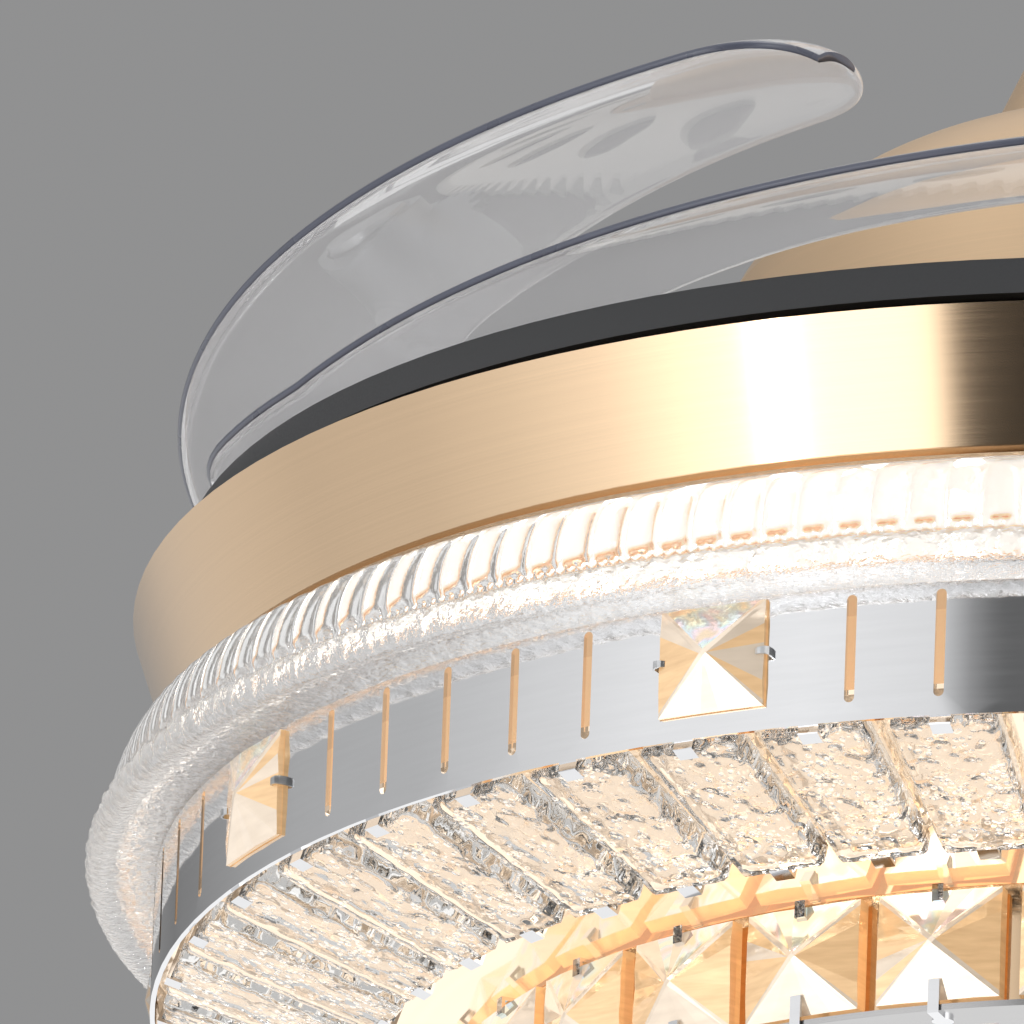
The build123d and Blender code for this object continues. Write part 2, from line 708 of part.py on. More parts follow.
square_base = 2.0
square_point = 5.0
facet_width = 1.0
square_seat_r = chrome_r - sheet
band_crystal = Pos(square_seat_r, 0, height(square_mid_h)) * cut_crystal(
    square_width, square_height, square_base, square_point, facet_width)
nodes["band_crystals"] = gathered(around(band_crystal, square_count, heading(square_phase_deg)))
clip_height = 3.0
clip_over = 1.6
clip_foot = 3.0
clip_thickness = 0.7
clip_stand = 1.6
clip_inset = 0.8
clip_r = square_seat_r + square_base + clip_stand
edge_r = chrome_r * math.cos(math.asin((square_width / 2 + crystal_gap + clip_foot) / chrome_r))
square_clips = []
for side in (-1, 1):
    near = side * (square_width / 2 - clip_over)
    far = side * (square_width / 2 + crystal_gap + clip_foot)
    start = side * (square_width / 2 + 2 * crystal_gap)
    top = block(clip_r, clip_r + clip_thickness, min(near, far), max(near, far), -clip_height / 2, clip_height / 2)
    foot = block(edge_r + clip_inset, clip_r, min(start, far), max(start, far), -clip_height / 2, clip_height / 2)
    square_clips.append(Pos(0, 0, height(square_mid_h)) * (top + foot))
clips = []
for clip in square_clips:
    clips += around(clip, square_count, heading(square_phase_deg))
nodes["band_clips"] = gathered(clips)

# Crystal bricks on the sloping mirror plate, each held by a tab at either end
brick_outer_r = 246.4
brick_inner_r = 198.0
brick_face_h = -99.6
brick_drop = 16.0
brick_outer_width = 25.8
brick_inner_width = 22.4
brick_thickness = 7.0
brick_bevel = 1.2
slope = math.atan2(brick_drop, brick_outer_r - brick_inner_r)
brick_length = math.hypot(brick_drop, brick_outer_r - brick_inner_r)
brick_plane = Plane(origin=(brick_outer_r, 0, height(brick_face_h)), x_dir=(0, 1, 0),
                    z_dir=(math.sin(slope), 0, -math.cos(slope)))
half_out = brick_outer_width / 2
half_in = brick_inner_width / 2
brick_outline = Polyline((-half_out, 0), (half_out, 0), (half_in, -brick_length), (-half_in, -brick_length),
                         close=True)
brick = extrude(make_face(brick_outline), -brick_thickness)
brick = chamfer(brick.faces().sort_by(Axis.Z)[-1].edges(), brick_bevel)
bricks = around(brick_plane * brick, brick_count, heading(brick_phase_deg))
nodes["crystal_bricks"] = gathered(bricks)

tab_width = 5.0
tab_thickness = 0.8
tab_over = 3.0
outer_tab = block(-tab_width / 2, tab_width / 2, fit_gap, fit_gap + tab_thickness,
                  -brick_thickness, fit_gap + tab_thickness)
outer_tab += block(-tab_width / 2, tab_width / 2, -tab_over, fit_gap + tab_thickness,
                   fit_gap, fit_gap + tab_thickness)
inner_start = -brick_length - fit_gap
inner_tab = block(-tab_width / 2, tab_width / 2, inner_start - tab_thickness, inner_start,
                  -brick_thickness, fit_gap + tab_thickness)
inner_tab += block(-tab_width / 2, tab_width / 2, inner_start - tab_thickness, -brick_length + tab_over,
                   fit_gap, fit_gap + tab_thickness)
tabs = around(brick_plane * outer_tab, brick_count, heading(brick_phase_deg))
tabs += around(brick_plane * inner_tab, brick_count, heading(brick_phase_deg))
nodes["brick_tabs"] = gathered(tabs)

inner_band_r = 176.0
plate_rise = (brick_thickness + fit_gap) / math.cos(slope)
plate_outer_r = chrome_r - sheet - clear_gap
plate_inner_r = inner_band_r + clear_gap


def brick_plate_level(radius):
    """Frame height of the mirror plate's visible face at a radius."""
    return height(brick_face_h) + plate_rise - (brick_outer_r - radius) * math.tan(slope)


nodes["brick_plate"] = turned([
    (plate_outer_r, brick_plate_level(plate_outer_r)),
    (plate_outer_r, brick_plate_level(plate_outer_r) + sheet),
    (plate_inner_r, brick_plate_level(plate_inner_r) + sheet),
    (plate_inner_r, brick_plate_level(plate_inner_r)),
])

# Core wall: hangs from the lamp plate and carries the chrome band and the mirror plate
core_foot = brick_plate_level(core_r) + sheet + fit_gap
lamp_core = turned([
    (core_flange_r, lamp_plate_low),
    (core_r, lamp_plate_low),
    (core_r, core_foot),
    (core_r - sheet, core_foot),
    (core_r - sheet, lamp_plate_low - sheet),
    (core_flange_r, lamp_plate_low - sheet),
])
for hole in around(lamp_hole, lamp_screw_count):
    lamp_core -= hole
nodes["lamp_core"] = lamp_core

# Inner drum with its ring of crystals, the petal plate and the diffuser
inner_low_h = -146.0
inner_wall = 2.0
tray_h = -124.5
inner_top = brick_plate_level(inner_band_r) + 2 * sheet
inner_low = height(inner_low_h)
tray_top = height(tray_h) + sheet
tray_low = height(tray_h)
cable_hole_r = 12.0
nodes["inner_drum"] = turned([
    (cable_hole_r, tray_top),
    (inner_band_r - inner_wall, tray_top),
    (inner_band_r - inner_wall, inner_top),
    (inner_band_r, inner_top),
    (inner_band_r, inner_low),
    (inner_band_r - inner_wall, inner_low),
    (inner_band_r - inner_wall, tray_low),
    (cable_hole_r, tray_low),
])
inner_crystal_width = 30.6
inner_crystal_height = 27.0
inner_crystal_mid_h = -131.0
inner_crystal_base = 3.5
inner_crystal_point = 5.5
inner_seat_r = inner_band_r + fit_gap + running_gap
inner_crystal = Pos(inner_seat_r, 0, height(inner_crystal_mid_h)) * cut_crystal(
    inner_crystal_width, inner_crystal_height, inner_crystal_base, inner_crystal_point, facet_width)
nodes["inner_crystals"] = gathered(around(inner_crystal, inner_count, heading(inner_phase_deg)))

petal_plate_r = 181.9
petal_thickness = 1.5
petal_count = 8
petal_outer_r = 170.0
petal_inner_r = 62.0
petal_half_deg = 19.0
petal_waist_share = 0.72
petal_phase_deg = 35.0
petal_bulge_r = 128.0
petal_plate = disc(petal_plate_r, inner_low - petal_thickness, inner_low)


def polar(radius, degrees):
    """Point in the plane from a radius and an angle."""
    return radius * math.cos(math.radians(degrees)), radius * math.sin(math.radians(degrees))


petal_edges = [
    ThreePointArc(polar(petal_outer_r, -petal_half_deg), polar(petal_outer_r, 0),
                  polar(petal_outer_r, petal_half_deg)),
    ThreePointArc(polar(petal_outer_r, petal_half_deg), polar(petal_bulge_r, petal_half_deg * petal_waist_share),
                  polar(petal_inner_r, 0)),
    ThreePointArc(polar(petal_inner_r, 0), polar(petal_bulge_r, -petal_half_deg * petal_waist_share),
                  polar(petal_outer_r, -petal_half_deg)),
]
petal = Pos(0, 0, inner_low - 2 * petal_thickness) * extrude(make_face(petal_edges), 4 * petal_thickness)
petal_plate -= around(petal, petal_count, heading(petal_phase_deg))
centre_hole_r = 36.0
petal_plate -= disc(centre_hole_r, inner_low - 2 * petal_thickness, inner_low + petal_thickness)
nodes["petal_plate"] = petal_plate
diffuser_thickness = 2.5
diffuser_r = inner_band_r - inner_wall - clear_gap
nodes["diffuser"] = disc(diffuser_r, inner_low, inner_low + diffuser_thickness)

strip_width = 2.8
strip_sheet = 0.8
pad_r = 2.6
lower_reach = 4.5
upper_reach = 3.0
lower_stand = 2.2
upper_stand = 1.6
pad_in = 4.0
upper_gap = 0.3
upper_sheet = 0.9
crystal_front = inner_seat_r + inner_crystal_base
crystal_low = height(inner_crystal_mid_h) - inner_crystal_height / 2
crystal_high = crystal_low + inner_crystal_height
upper_low = crystal_high + upper_gap
upper_high = upper_low + upper_sheet
hook_r = crystal_front + lower_stand
hook_back_r = hook_r + strip_sheet
pad_centre_r = crystal_front - pad_in
strip_half = strip_width / 2
plate_foot = inner_low - petal_thickness
lower_strip = block(hook_r, hook_back_r, -strip_half, strip_half, plate_foot - strip_sheet,
                    crystal_low + lower_reach)
lower_strip += block(pad_centre_r, hook_back_r, -strip_half, strip_half, plate_foot - strip_sheet, plate_foot)
lower_strip += Pos(pad_centre_r, 0, 0) * disc(pad_r, plate_foot - strip_sheet, plate_foot)
claw_r = crystal_front + upper_stand
claw_back_r = claw_r + strip_sheet
upper_strip = block(claw_r, claw_back_r, -strip_half, strip_half, crystal_high - upper_reach, upper_high)
upper_strip += block(inner_band_r + fit_gap, claw_back_r, -strip_half, strip_half, upper_low, upper_high)
nodes["inner_tabs"] = gathered(around(lower_strip, inner_count, heading(inner_phase_deg))
                               + around(upper_strip, inner_count, heading(inner_phase_deg)))

# Light engine: annular board with its chips, and the driver above the tray
board_outer_r = 165.0
board_inner_r = 45.0
board_thickness = 1.6
board_low = tray_low - board_thickness
chip_size = 5.0
chip_height = 1.5
nodes["led_board"] = ring(board_outer_r, board_inner_r, board_low, tray_low)
chip_rings = ((75.0, 12), (112.0, 24), (148.0, 36))
chips = []
for ring_r, ring_count in chip_rings:
    chip = block(ring_r - chip_size / 2, ring_r + chip_size / 2, -chip_size / 2, chip_size / 2,
                 board_low - chip_height, board_low)
    chips += around(chip, ring_count)
nodes["led_chips"] = gathered(chips)
driver_x = 60.0
driver_half_length = 70.0
driver_half_width = 26.0
driver_height = 24.0
nodes["led_driver"] = block(driver_x - driver_half_width, driver_x + driver_half_width, -driver_half_length,
                            driver_half_length, tray_top, tray_top + driver_height)

os.makedirs("parts", exist_ok=True)
for name, shape in nodes.items():
    export_step(shape, f"parts/{name}.step")
print(len(nodes), "nodes written")
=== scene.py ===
import math
import json

import bpy
from mathutils import Matrix, Vector, noise


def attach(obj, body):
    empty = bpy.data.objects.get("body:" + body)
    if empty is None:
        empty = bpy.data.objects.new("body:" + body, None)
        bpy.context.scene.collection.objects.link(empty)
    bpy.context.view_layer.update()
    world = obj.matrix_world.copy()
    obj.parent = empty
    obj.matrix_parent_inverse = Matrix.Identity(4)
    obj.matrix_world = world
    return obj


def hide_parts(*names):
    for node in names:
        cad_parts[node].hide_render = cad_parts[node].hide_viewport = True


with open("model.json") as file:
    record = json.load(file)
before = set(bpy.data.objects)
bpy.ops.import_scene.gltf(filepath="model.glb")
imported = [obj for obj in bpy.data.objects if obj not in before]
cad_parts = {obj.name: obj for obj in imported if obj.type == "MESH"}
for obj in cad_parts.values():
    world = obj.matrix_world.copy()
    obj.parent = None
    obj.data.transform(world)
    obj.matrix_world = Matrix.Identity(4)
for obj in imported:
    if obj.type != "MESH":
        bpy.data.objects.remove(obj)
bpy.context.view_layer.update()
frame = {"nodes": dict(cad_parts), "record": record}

# Sizes in millimetres, the same as in the CAD. Heights above the gold band's top rim are called h.
MM = 0.001
MM_PER_METRE = 1000
BAND_DROP = 310.0
TURN = 2 * math.pi

# Clear ring: its outline as (radius, h) points, then its ribs, beads and pebbles
RIB_COUNT = 180
STEPS_PER_RIB = 12
BEADS_PER_RIB = 3
TRIM_LOW_H = -34.8
RING_LOW_H = -65.7
RING_INNER_R = 244.0
RING_START = (247.5, TRIM_LOW_H)
SHOULDER_MID, SHOULDER_END = (254.5, -38.0), (258.0, -41.0)
WALL_MID, WALL_END = (260.7, -47.0), (261.5, -54.5)
BEAD_END = (260.5, -57.0)
ROLL_MID, ROLL_END = (266.4, -61.0), (261.4, RING_LOW_H)
RING_FOOT, RING_BACK = (RING_INNER_R, RING_LOW_H), (RING_INNER_R, TRIM_LOW_H)
SHOULDER_STEPS, WALL_STEPS, BEAD_STEPS = 9, 12, 6
ROLL_STEPS, UNDER_STEPS, BACK_STEPS = 13, 8, 6
RIB_CREST_H = -37.6
RIB_CREST_FALL = 2.4
RIB_CREST_RUN = 1.1
RIB_FOOT_H = -54.9
RIB_FOOT_RUN = 1.2
RIB_DEPTH = 2.8
RIB_FOOT_INSET = 0.9
RIB_TOP_INSET = 1.0
RIB_FULLNESS = 0.97
BEAD_MID_H = -55.7
BEAD_HALF = 1.35
BEAD_INSET = 0.9
BEAD_DEPTH = 1.5
LOBE_RUN = 1.5
LOBE_INSET = 1.6
LOBE_DEPTH = 1.3
LOBE_END_H = -65.0
LOBE_END_RUN = 3
ROLL_PEBBLE, ROLL_PEBBLE_DEPTH = 2.3, 0.75
UNDER_PEBBLE, UNDER_PEBBLE_DEPTH = 2.6, 0.6
PEBBLE_STEEPNESS = 1.5

# Light strip behind the clear ring
DIODE_COUNT = 64
DIODE_H = -47.0
DIODE_POWER = 5.0
DIODE_HALF_SHARE = 0.12
DIODE_HALF_TALL = 3.2
GLOW_LOW = 0.62
GLOW_HIGH = 0.5
GLOW_END_H = -57.5
LEVEL_LOW_H, LEVEL_HIGH_H = -60.0, -36.0

# Folding blades
BLADE_COUNT = 4
BLADE_PHASE_DEG = 5.3
BLADE_REACH_DEG = 149.7
BLADE_ROOT_DEG = 5.2
BLADE_FLAT_DEG = 23.0
ROTOR_TOP_H = 14.5
GEAR_LIFT = 0.5
GEAR_THICKNESS = 4.0
BLADE_GAP = 0.35
BLADE_BASE = -BAND_DROP + ROTOR_TOP_H + GEAR_LIFT + GEAR_THICKNESS + BLADE_GAP
BLADE_CLIMB = 55.0
CLIMB_BOW_SHARE = 0.015
BLADE_CAMBER = 5.0
BLADE_LIFT = 4.0
BLADE_THICKNESS = 2.4
BLADE_ACROSS = 20
BLADE_BODY_STEPS = 84
BLADE_TIP_STEPS = 16
BLADE_OUTER_R = 247.2
BLADE_ROOT_INNER_R = 205.0
BLADE_TIP_INNER_R = 186.0
WIDEN_START_DEG = 42.0
WIDEN_END_DEG = 122.0
CAMBER_RUN_DEG = 38.0
ROOT_SHARE = 0.05
ROOT_TAPER_SHARE = 0.25
TIP_SHARE = 0.955
TIP_END_SHARE = 0.9992
TIP_POWER = 2.6
LIP = 0.9
LIP_WIDTH_SHARE = 10
LIP_SHOULDER_SHARE = 0.7
LIP_SHOULDER = 0.55
EDGE_RUN = 3.0
EDGE_THINNING = 0.25

# Crystal bricks
BRICK_COUNT = 48
BRICK_PHASE_DEG = 14.6
BRICK_OUTER_R = 246.4
BRICK_INNER_R = 198.0
BRICK_FACE_H = -99.6
BRICK_DROP = 16.0
BRICK_OUTER_HALF = 12.9
BRICK_INNER_HALF = 11.2
BRICK_THICKNESS = 7.0
BRICK_BEVEL = 1.2
BRICK_CORNER = 2.0
BRICK_ROWS = 44
BRICK_COLUMNS = 22
BRICK_SEED_STEP = 71.3
BACK_PEBBLE, BACK_PEBBLE_DEPTH, BACK_PEBBLE_LEVEL = 4.2, 0.9, 9.0
FRONT_PEBBLE, FRONT_PEBBLE_DEPTH, FRONT_PEBBLE_LEVEL = 2.6, 0.28, 2.0
MIDDLE_PEBBLE_SHARE = 0.35
END_PEBBLE_RISE, END_PEBBLE_START = 3, 0.4

# Square crystals: (piece, node, count, phase, seat radius, middle h, width, height, base, point, seed)
SQUARE_COUNT = 10
SQUARE_PHASE_DEG = 27.6
SQUARE_SEAT_R = 248.2
SQUARE_MID_H = -79.9
SQUARE_ROWS = (
    ("cut_band_crystals", "band_crystals", SQUARE_COUNT, SQUARE_PHASE_DEG, SQUARE_SEAT_R, SQUARE_MID_H,
     27.4, 26.0, 2.0, 5.0, 3),
    ("cut_inner_crystals", "inner_crystals", 32, 19.9, 176.35, -131.0, 30.6, 27.0, 3.5, 5.5, 11),
)
FAN_CUTS = 5
STRIP_END = 1.3
TABLE_HALF = 0.9
CREASE = 0.55
CREASE_LEAST_SHARE = 0.2
# Facet material by the side a fan faces: the lower side pale, the upper side pearly, the two sideways sides
# amber, a painted reflection of how each side faces the light; a random share of fan facets is pale instead.
SIDE_REFLECTION_TINTS = (1, 0, 2, 0)
USUAL_TINT_SHARE = 0.78

# Hooks: half the gap between a pair, then the tongue's path as (outwards, sideways) points
HOOK_HALF_GAP = 13.7
HOOK_R = SQUARE_SEAT_R + 2.0
HOOK_PATH = ((-2.6, 1.15), (0.5, 1.15), (1.15, 0.7), (1.3, -0.1), (1.25, -0.9), (0.8, -1.6))
HOOK_THICKNESS = 0.45
HOOK_HALF_TALL = 1.1
HOOK_TAPER = 0.35


def drop(h):
    """Frame height of a level above the gold band's top rim."""
    return h - BAND_DROP


def heading(phase_deg):
    """Angle about Z of a phase counted leftwards from -Y."""
    return math.radians(-90.0 - phase_deg)


def eased(value):
    value = min(max(value, 0.0), 1.0)
    return value * value * (3 - 2 * value)


def arc_points(start, middle, end, count):
    """Points on the circle through three (radius, height) points, the first left out."""
    (ax, ay), (bx, by), (cx, cy) = start, middle, end
    a_square, b_square, c_square = ax * ax + ay * ay, bx * bx + by * by, cx * cx + cy * cy
    d = 2 * (ax * (by - cy) + bx * (cy - ay) + cx * (ay - by))
    ux = (a_square * (by - cy) + b_square * (cy - ay) + c_square * (ay - by)) / d
    uy = (a_square * (cx - bx) + b_square * (ax - cx) + c_square * (bx - ax)) / d
    radius = math.hypot(ax - ux, ay - uy)
    first = math.atan2(ay - uy, ax - ux)
    mid = (math.atan2(by - uy, bx - ux) - first + math.pi) % TURN - math.pi
    last = (math.atan2(cy - uy, cx - ux) - first + math.pi) % TURN - math.pi
    if mid * last < 0:
        last += math.copysign(TURN, mid)
    turns = [first + last * k / count for k in range(1, count + 1)]
    return [(ux + radius * math.cos(turn), uy + radius * math.sin(turn)) for turn in turns]


def line_points(start, end, count):
    return [(start[0] + (end[0] - start[0]) * k / count, start[1] + (end[1] - start[1]) * k / count)
            for k in range(1, count + 1)]


def add_piece(name, verts, faces, materials, face_materials, body, stands_for, smooth=True):
    """Mesh piece from millimetre points."""
    mesh = bpy.data.meshes.new(name)
    mesh.from_pydata([(x * MM, y * MM, z * MM) for x, y, z in verts], [], faces)
    for material in materials:
        mesh.materials.append(material)
    mesh.polygons.foreach_set("material_index", face_materials)
    mesh.polygons.foreach_set("use_smooth", [smooth] * len(mesh.polygons))
    mesh.update()
    piece = bpy.data.objects.new(name, mesh)
    bpy.context.scene.collection.objects.link(piece)
    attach(piece, body)
    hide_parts(stands_for)


def grid_faces(rows, columns, close_rows, close_columns, start=0, flip=False):
    """Quads over a grid of points stored row by row."""
    faces = []
    for r in range(rows if close_rows else rows - 1):
        below = (r + 1) % rows
        for c in range(columns if close_columns else columns - 1):
            beside = (c + 1) % columns
            quad = (start + r * columns + c, start + below * columns + c,
                    start + below * columns + beside, start + r * columns + beside)
            faces.append(quad[::-1] if flip else quad)
    return faces


def pebbles(x, y, z, size, depth):
    """Depth below a field of rounded pebbles."""
    near = noise.voronoi(Vector((x / size, y / size, z / size)))[0]
    return depth * min(near[0] * PEBBLE_STEEPNESS, 1.0) ** 2


# Materials

ACRYLIC_IOR = 1.49
BLADE_IOR = 1.53
CRYSTAL_IOR = 1.55
GRAIN_LOW, GRAIN_HIGH = 0.3, 0.7
PEARL_STOPS = ((0.30, (0.90, 0.72, 0.50)), (0.42, (0.92, 0.80, 0.90)), (0.48, (0.70, 0.88, 0.98)),
               (0.54, (0.80, 0.93, 0.80)), (0.60, (0.97, 0.88, 0.62)), (0.70, (0.90, 0.70, 0.46)))
STRIP_STOPS = ((0.74, (1.0, 0.95, 0.88)), (0.92, (0.80, 0.52, 0.30)))
BUBBLE_SCALE = 430.0
BUBBLE_FOOT, BUBBLE_TOP = 0.42, 0.1
BUBBLE_RELIEF, BUBBLE_HEIGHT = 0.9, 0.0006
# Emission strengths of the painted glints on bubble rims and of the faint painted glow over the crystal
BUBBLE_RIM_LIGHT, CRYSTAL_LIGHT = 1.4, 0.02
CLUSTER_SCALE = 95.0
CLUSTER_START, CLUSTER_FULL = 0.46, 0.56


def nodes_of(name):
    material = bpy.data.materials.new(name)
    material.use_nodes = True
    nodes = material.node_tree.nodes
    return material, nodes, material.node_tree.links, nodes["Principled BSDF"]


def maths_in(nodes, links):
    """Function that adds one maths node, fed by numbers or by other nodes' outputs."""
    def maths(operation, *inputs):
        node = nodes.new("ShaderNodeMath")
        node.operation = operation
        for socket, value in zip(node.inputs, inputs):
            if isinstance(value, (int, float)):
                socket.default_value = value
            else:
                links.new(value, socket)
        return node.outputs[0]
    return maths


def colour_ramp(nodes, stops):
    """Ramp through (position, (red, green, blue)) stops."""
    ramp = nodes.new("ShaderNodeValToRGB")
    elements = ramp.color_ramp.elements
    for element, (position, colour) in zip(elements, (stops[0], stops[-1])):
        element.position = position
        element.color = (*colour, 1)
    for position, colour in stops[1:-1]:
        elements.new(position).color = (*colour, 1)
    return ramp


def map_range(nodes, links, value, from_min, from_max, to_min=0.0, to_max=1.0, smooth=False):
    """Output that carries a value from one range to another."""
    node = nodes.new("ShaderNodeMapRange")
    if smooth:
        node.interpolation_type = "SMOOTHSTEP"
    node.inputs["From Min"].default_value = from_min
    node.inputs["From Max"].default_value = from_max
    node.inputs["To Min"].default_value = to_min
    node.inputs["To Max"].default_value = to_max
    links.new(value, node.inputs["Value"])
    return node.outputs["Result"]


def mix_colours(nodes, links, share, below, above):
    """Output that goes from one colour to another, each a node's output or (red, green, blue)."""
    node = nodes.new("ShaderNodeMix")
    node.data_type = "RGBA"
    links.new(share, node.inputs["Factor"])
    for socket, value in ((node.inputs["A"], below), (node.inputs["B"], above)):
        if isinstance(value, tuple):
            socket.default_value = (*value, 1)
        else:
            links.new(value, socket)
    return node.outputs["Result"]


def coordinates(nodes, links, scale, turned):
    """Object coordinates, or (radius, height) ones for parts turned about the Z axis."""
    maths = maths_in(nodes, links)
    vector = nodes.new("ShaderNodeTexCoord").outputs["Object"]
    mapping = nodes.new("ShaderNodeMapping")
    mapping.inputs["Scale"].default_value = scale if isinstance(scale, tuple) else (scale,) * 3
    if turned:
        split = nodes.new("ShaderNodeSeparateXYZ")
        links.new(vector, split.inputs[0])
        x, y = split.outputs["X"], split.outputs["Y"]
        join = nodes.new("ShaderNodeCombineXYZ")
        links.new(maths("SQRT", maths("MULTIPLY_ADD", y, y, maths("MULTIPLY", x, x))), join.inputs["X"])
        links.new(split.outputs["Z"], join.inputs["Z"])
        vector = join.outputs[0]
    links.new(vector, mapping.inputs["Vector"])
    return mapping.outputs["Vector"]


def finish(name, colour, metallic=0.0, roughness=(0.35, 0.5), scale=400, spread=0.06, bump=0.1, depth=0.0001,
           turned=False, **sockets):
    """Surface with grain in its colour, gloss and relief."""
    material, nodes, links, shader = nodes_of(name)
    grain = nodes.new("ShaderNodeTexNoise")
    grain.inputs["Scale"].default_value = 1.0
    grain.inputs["Detail"].default_value = 3.0
    links.new(coordinates(nodes, links, scale, turned), grain.inputs["Vector"])
    ramp = colour_ramp(nodes, ((GRAIN_LOW, [c * (1 - spread) for c in colour]),
                               (GRAIN_HIGH, [min(c * (1 + spread), 1.0) for c in colour])))
    links.new(grain.outputs["Fac"], ramp.inputs["Fac"])
    links.new(ramp.outputs["Color"], shader.inputs["Base Color"])
    gloss = map_range(nodes, links, grain.outputs["Fac"], GRAIN_LOW, GRAIN_HIGH, *roughness)
    links.new(gloss, shader.inputs["Roughness"])
    if bump:
        relief = nodes.new("ShaderNodeBump")
        relief.inputs["Strength"].default_value = bump
        relief.inputs["Distance"].default_value = depth
        links.new(grain.outputs["Fac"], relief.inputs["Height"])
        links.new(relief.outputs["Normal"], shader.inputs["Normal"])
    shader.inputs["Metallic"].default_value = metallic
    for socket, value in sockets.items():
        shader.inputs[socket.replace("_", " ")].default_value = value
    return material


def tangent_round(material):
    """Brushing round the Z axis."""
    nodes, links = material.node_tree.nodes, material.node_tree.links
    tangent = nodes.new("ShaderNodeTangent")
    tangent.direction_type = "RADIAL"
    tangent.axis = "Z"
    links.new(tangent.outputs["Tangent"], nodes["Principled BSDF"].inputs["Tangent"])
    return material


def clear(name, colour, roughness, ior, scale, bump, depth):
    """Clear moulded plastic or glass with slight waviness."""
    return finish(name, colour, roughness=(roughness, roughness * 1.6), scale=scale, spread=0.01, bump=bump,
                  depth=depth, Transmission_Weight=1.0, IOR=ior)


def glowing(material, colour, strength):
    shader = material.node_tree.nodes["Principled BSDF"]
    shader.inputs["Emission Color"].default_value = (*colour, 1)
    shader.inputs["Emission Strength"].default_value = strength
    return material


gold_metal = tangent_round(finish("brushed_gold", (0.80, 0.585, 0.385), metallic=1.0, roughness=(0.17, 0.20),
                                  scale=(3, 3, 5200), spread=0.025, bump=0.05, depth=0.00003,
                                  Anisotropic=0.85, Anisotropic_Rotation=0.25))
gold_paint = finish("satin_champagne_gold", (0.71, 0.51, 0.32), metallic=0.75, roughness=(0.38, 0.46),
                    scale=2600, spread=0.03, depth=0.00005, turned=True, Coat_Weight=0.15)
black_paint = finish("satin_black", (0.022, 0.023, 0.025), metallic=0.1, roughness=(0.34, 0.44), scale=1800,
                     spread=0.1, bump=0.15, depth=0.00006)
zinc = finish("zinc_plate", (0.62, 0.63, 0.64), metallic=1.0, roughness=(0.28, 0.42), scale=(300, 300, 900),
              spread=0.08)
arm_steel = finish("painted_arm", (0.46, 0.47, 0.49), metallic=1.0, roughness=(0.3, 0.42),
                   scale=(250, 900, 900))
white_paint = finish("white_powder_coat", (0.78, 0.77, 0.74), roughness=(0.42, 0.55), scale=1500, spread=0.03,
                     bump=0.2)
chrome = tangent_round(finish("chrome", (0.84, 0.845, 0.86), metallic=1.0, roughness=(0.035, 0.07),
                              scale=(40, 40, 600), spread=0.015, bump=0.02, depth=0.00003))
petal_chrome = finish("satin_chrome", (0.54, 0.535, 0.535), metallic=1.0, roughness=(0.17, 0.24), scale=3000,
                      spread=0.02, bump=0.05, depth=0.00003, turned=True)
gold_mirror = finish("champagne_mirror", (0.86, 0.62, 0.40), metallic=1.0, roughness=(0.05, 0.11), scale=300,
                     spread=0.03, bump=0.03, depth=0.00005, turned=True)
# Clear blade sheet with a faint painted glow (emission 0.06), which stands in for haze and reflected light on
# the blades.
blade_clear = glowing(finish("clear_blade", (0.975, 0.975, 0.98), roughness=(0.012, 0.02), scale=12,
                             spread=0.01, bump=0.3, depth=0.0008, Transmission_Weight=0.86, IOR=BLADE_IOR),
                      (1.0, 0.98, 0.99), 0.06)
blade_rim = finish("blade_rim", (0.085, 0.092, 0.125), roughness=(0.25, 0.35), scale=60, spread=0.08,
                   bump=0.05, IOR=BLADE_IOR)
# Both clear ring materials carry a faint painted glow (emission), which stands in for light passing through
# and off the ring.
acrylic = glowing(clear("clear_acrylic", (0.985, 0.985, 0.98), 0.02, ACRYLIC_IOR, 900, 0.12, 0.0002),
                  (1.0, 0.96, 0.93), 0.03)
acrylic_pebbled = glowing(clear("pebbled_acrylic", (0.985, 0.985, 0.985), 0.03, ACRYLIC_IOR, 620, 1.0,
                                0.0009), (1.0, 0.97, 0.95), 0.045)
opal = glowing(finish("opal_diffuser", (0.82, 0.76, 0.74), roughness=(0.4, 0.5), scale=900, spread=0.01,
                      bump=0.05), (1.0, 0.88, 0.83), 0.20)
nylon = finish("nylon", (0.80, 0.79, 0.75), roughness=(0.4, 0.55), scale=700, spread=0.04, bump=0.2)
white_plastic = finish("white_plastic", (0.82, 0.82, 0.80), scale=900, spread=0.03, bump=0.2)
board = finish("white_board", (0.84, 0.83, 0.78), scale=600, spread=0.03)
led = glowing(finish("led_chip", (0.95, 0.85, 0.45), roughness=(0.3, 0.45), scale=2000),
              (1.0, 0.86, 0.62), 4.0)
laminations = finish("laminations", (0.22, 0.22, 0.23), metallic=1.0, roughness=(0.4, 0.6),
                     scale=(20, 20, 2600), spread=0.25, bump=0.4, depth=0.0002)
copper = finish("copper_wire", (0.72, 0.33, 0.16), metallic=1.0, roughness=(0.25, 0.4),
                scale=(400, 400, 1800), spread=0.2, bump=0.5, depth=0.0003)
magnet = finish("magnet", (0.30, 0.30, 0.31), metallic=0.9, scale=500, spread=0.12)
# Painted glow: the brick plate's mirror and the lamp core's wall emit light though neither is a lamp; it
# stands in for the LEDs' light falling on them.
mirror_with_painted_glow = glowing(finish("champagne_mirror_painted_glow", (0.92, 0.78, 0.62), metallic=1.0, roughness=(0.05, 0.11),
                            scale=300, spread=0.03, bump=0.03, depth=0.00005, turned=True),
                     (1.0, 0.72, 0.48), 0.36)
wall_with_painted_glow = glowing(finish("gold_wall_painted_glow", (0.84, 0.64, 0.45), metallic=0.3, roughness=(0.3, 0.4), scale=900,
                          spread=0.03, bump=0.05), (1.0, 0.72, 0.45), 0.4)
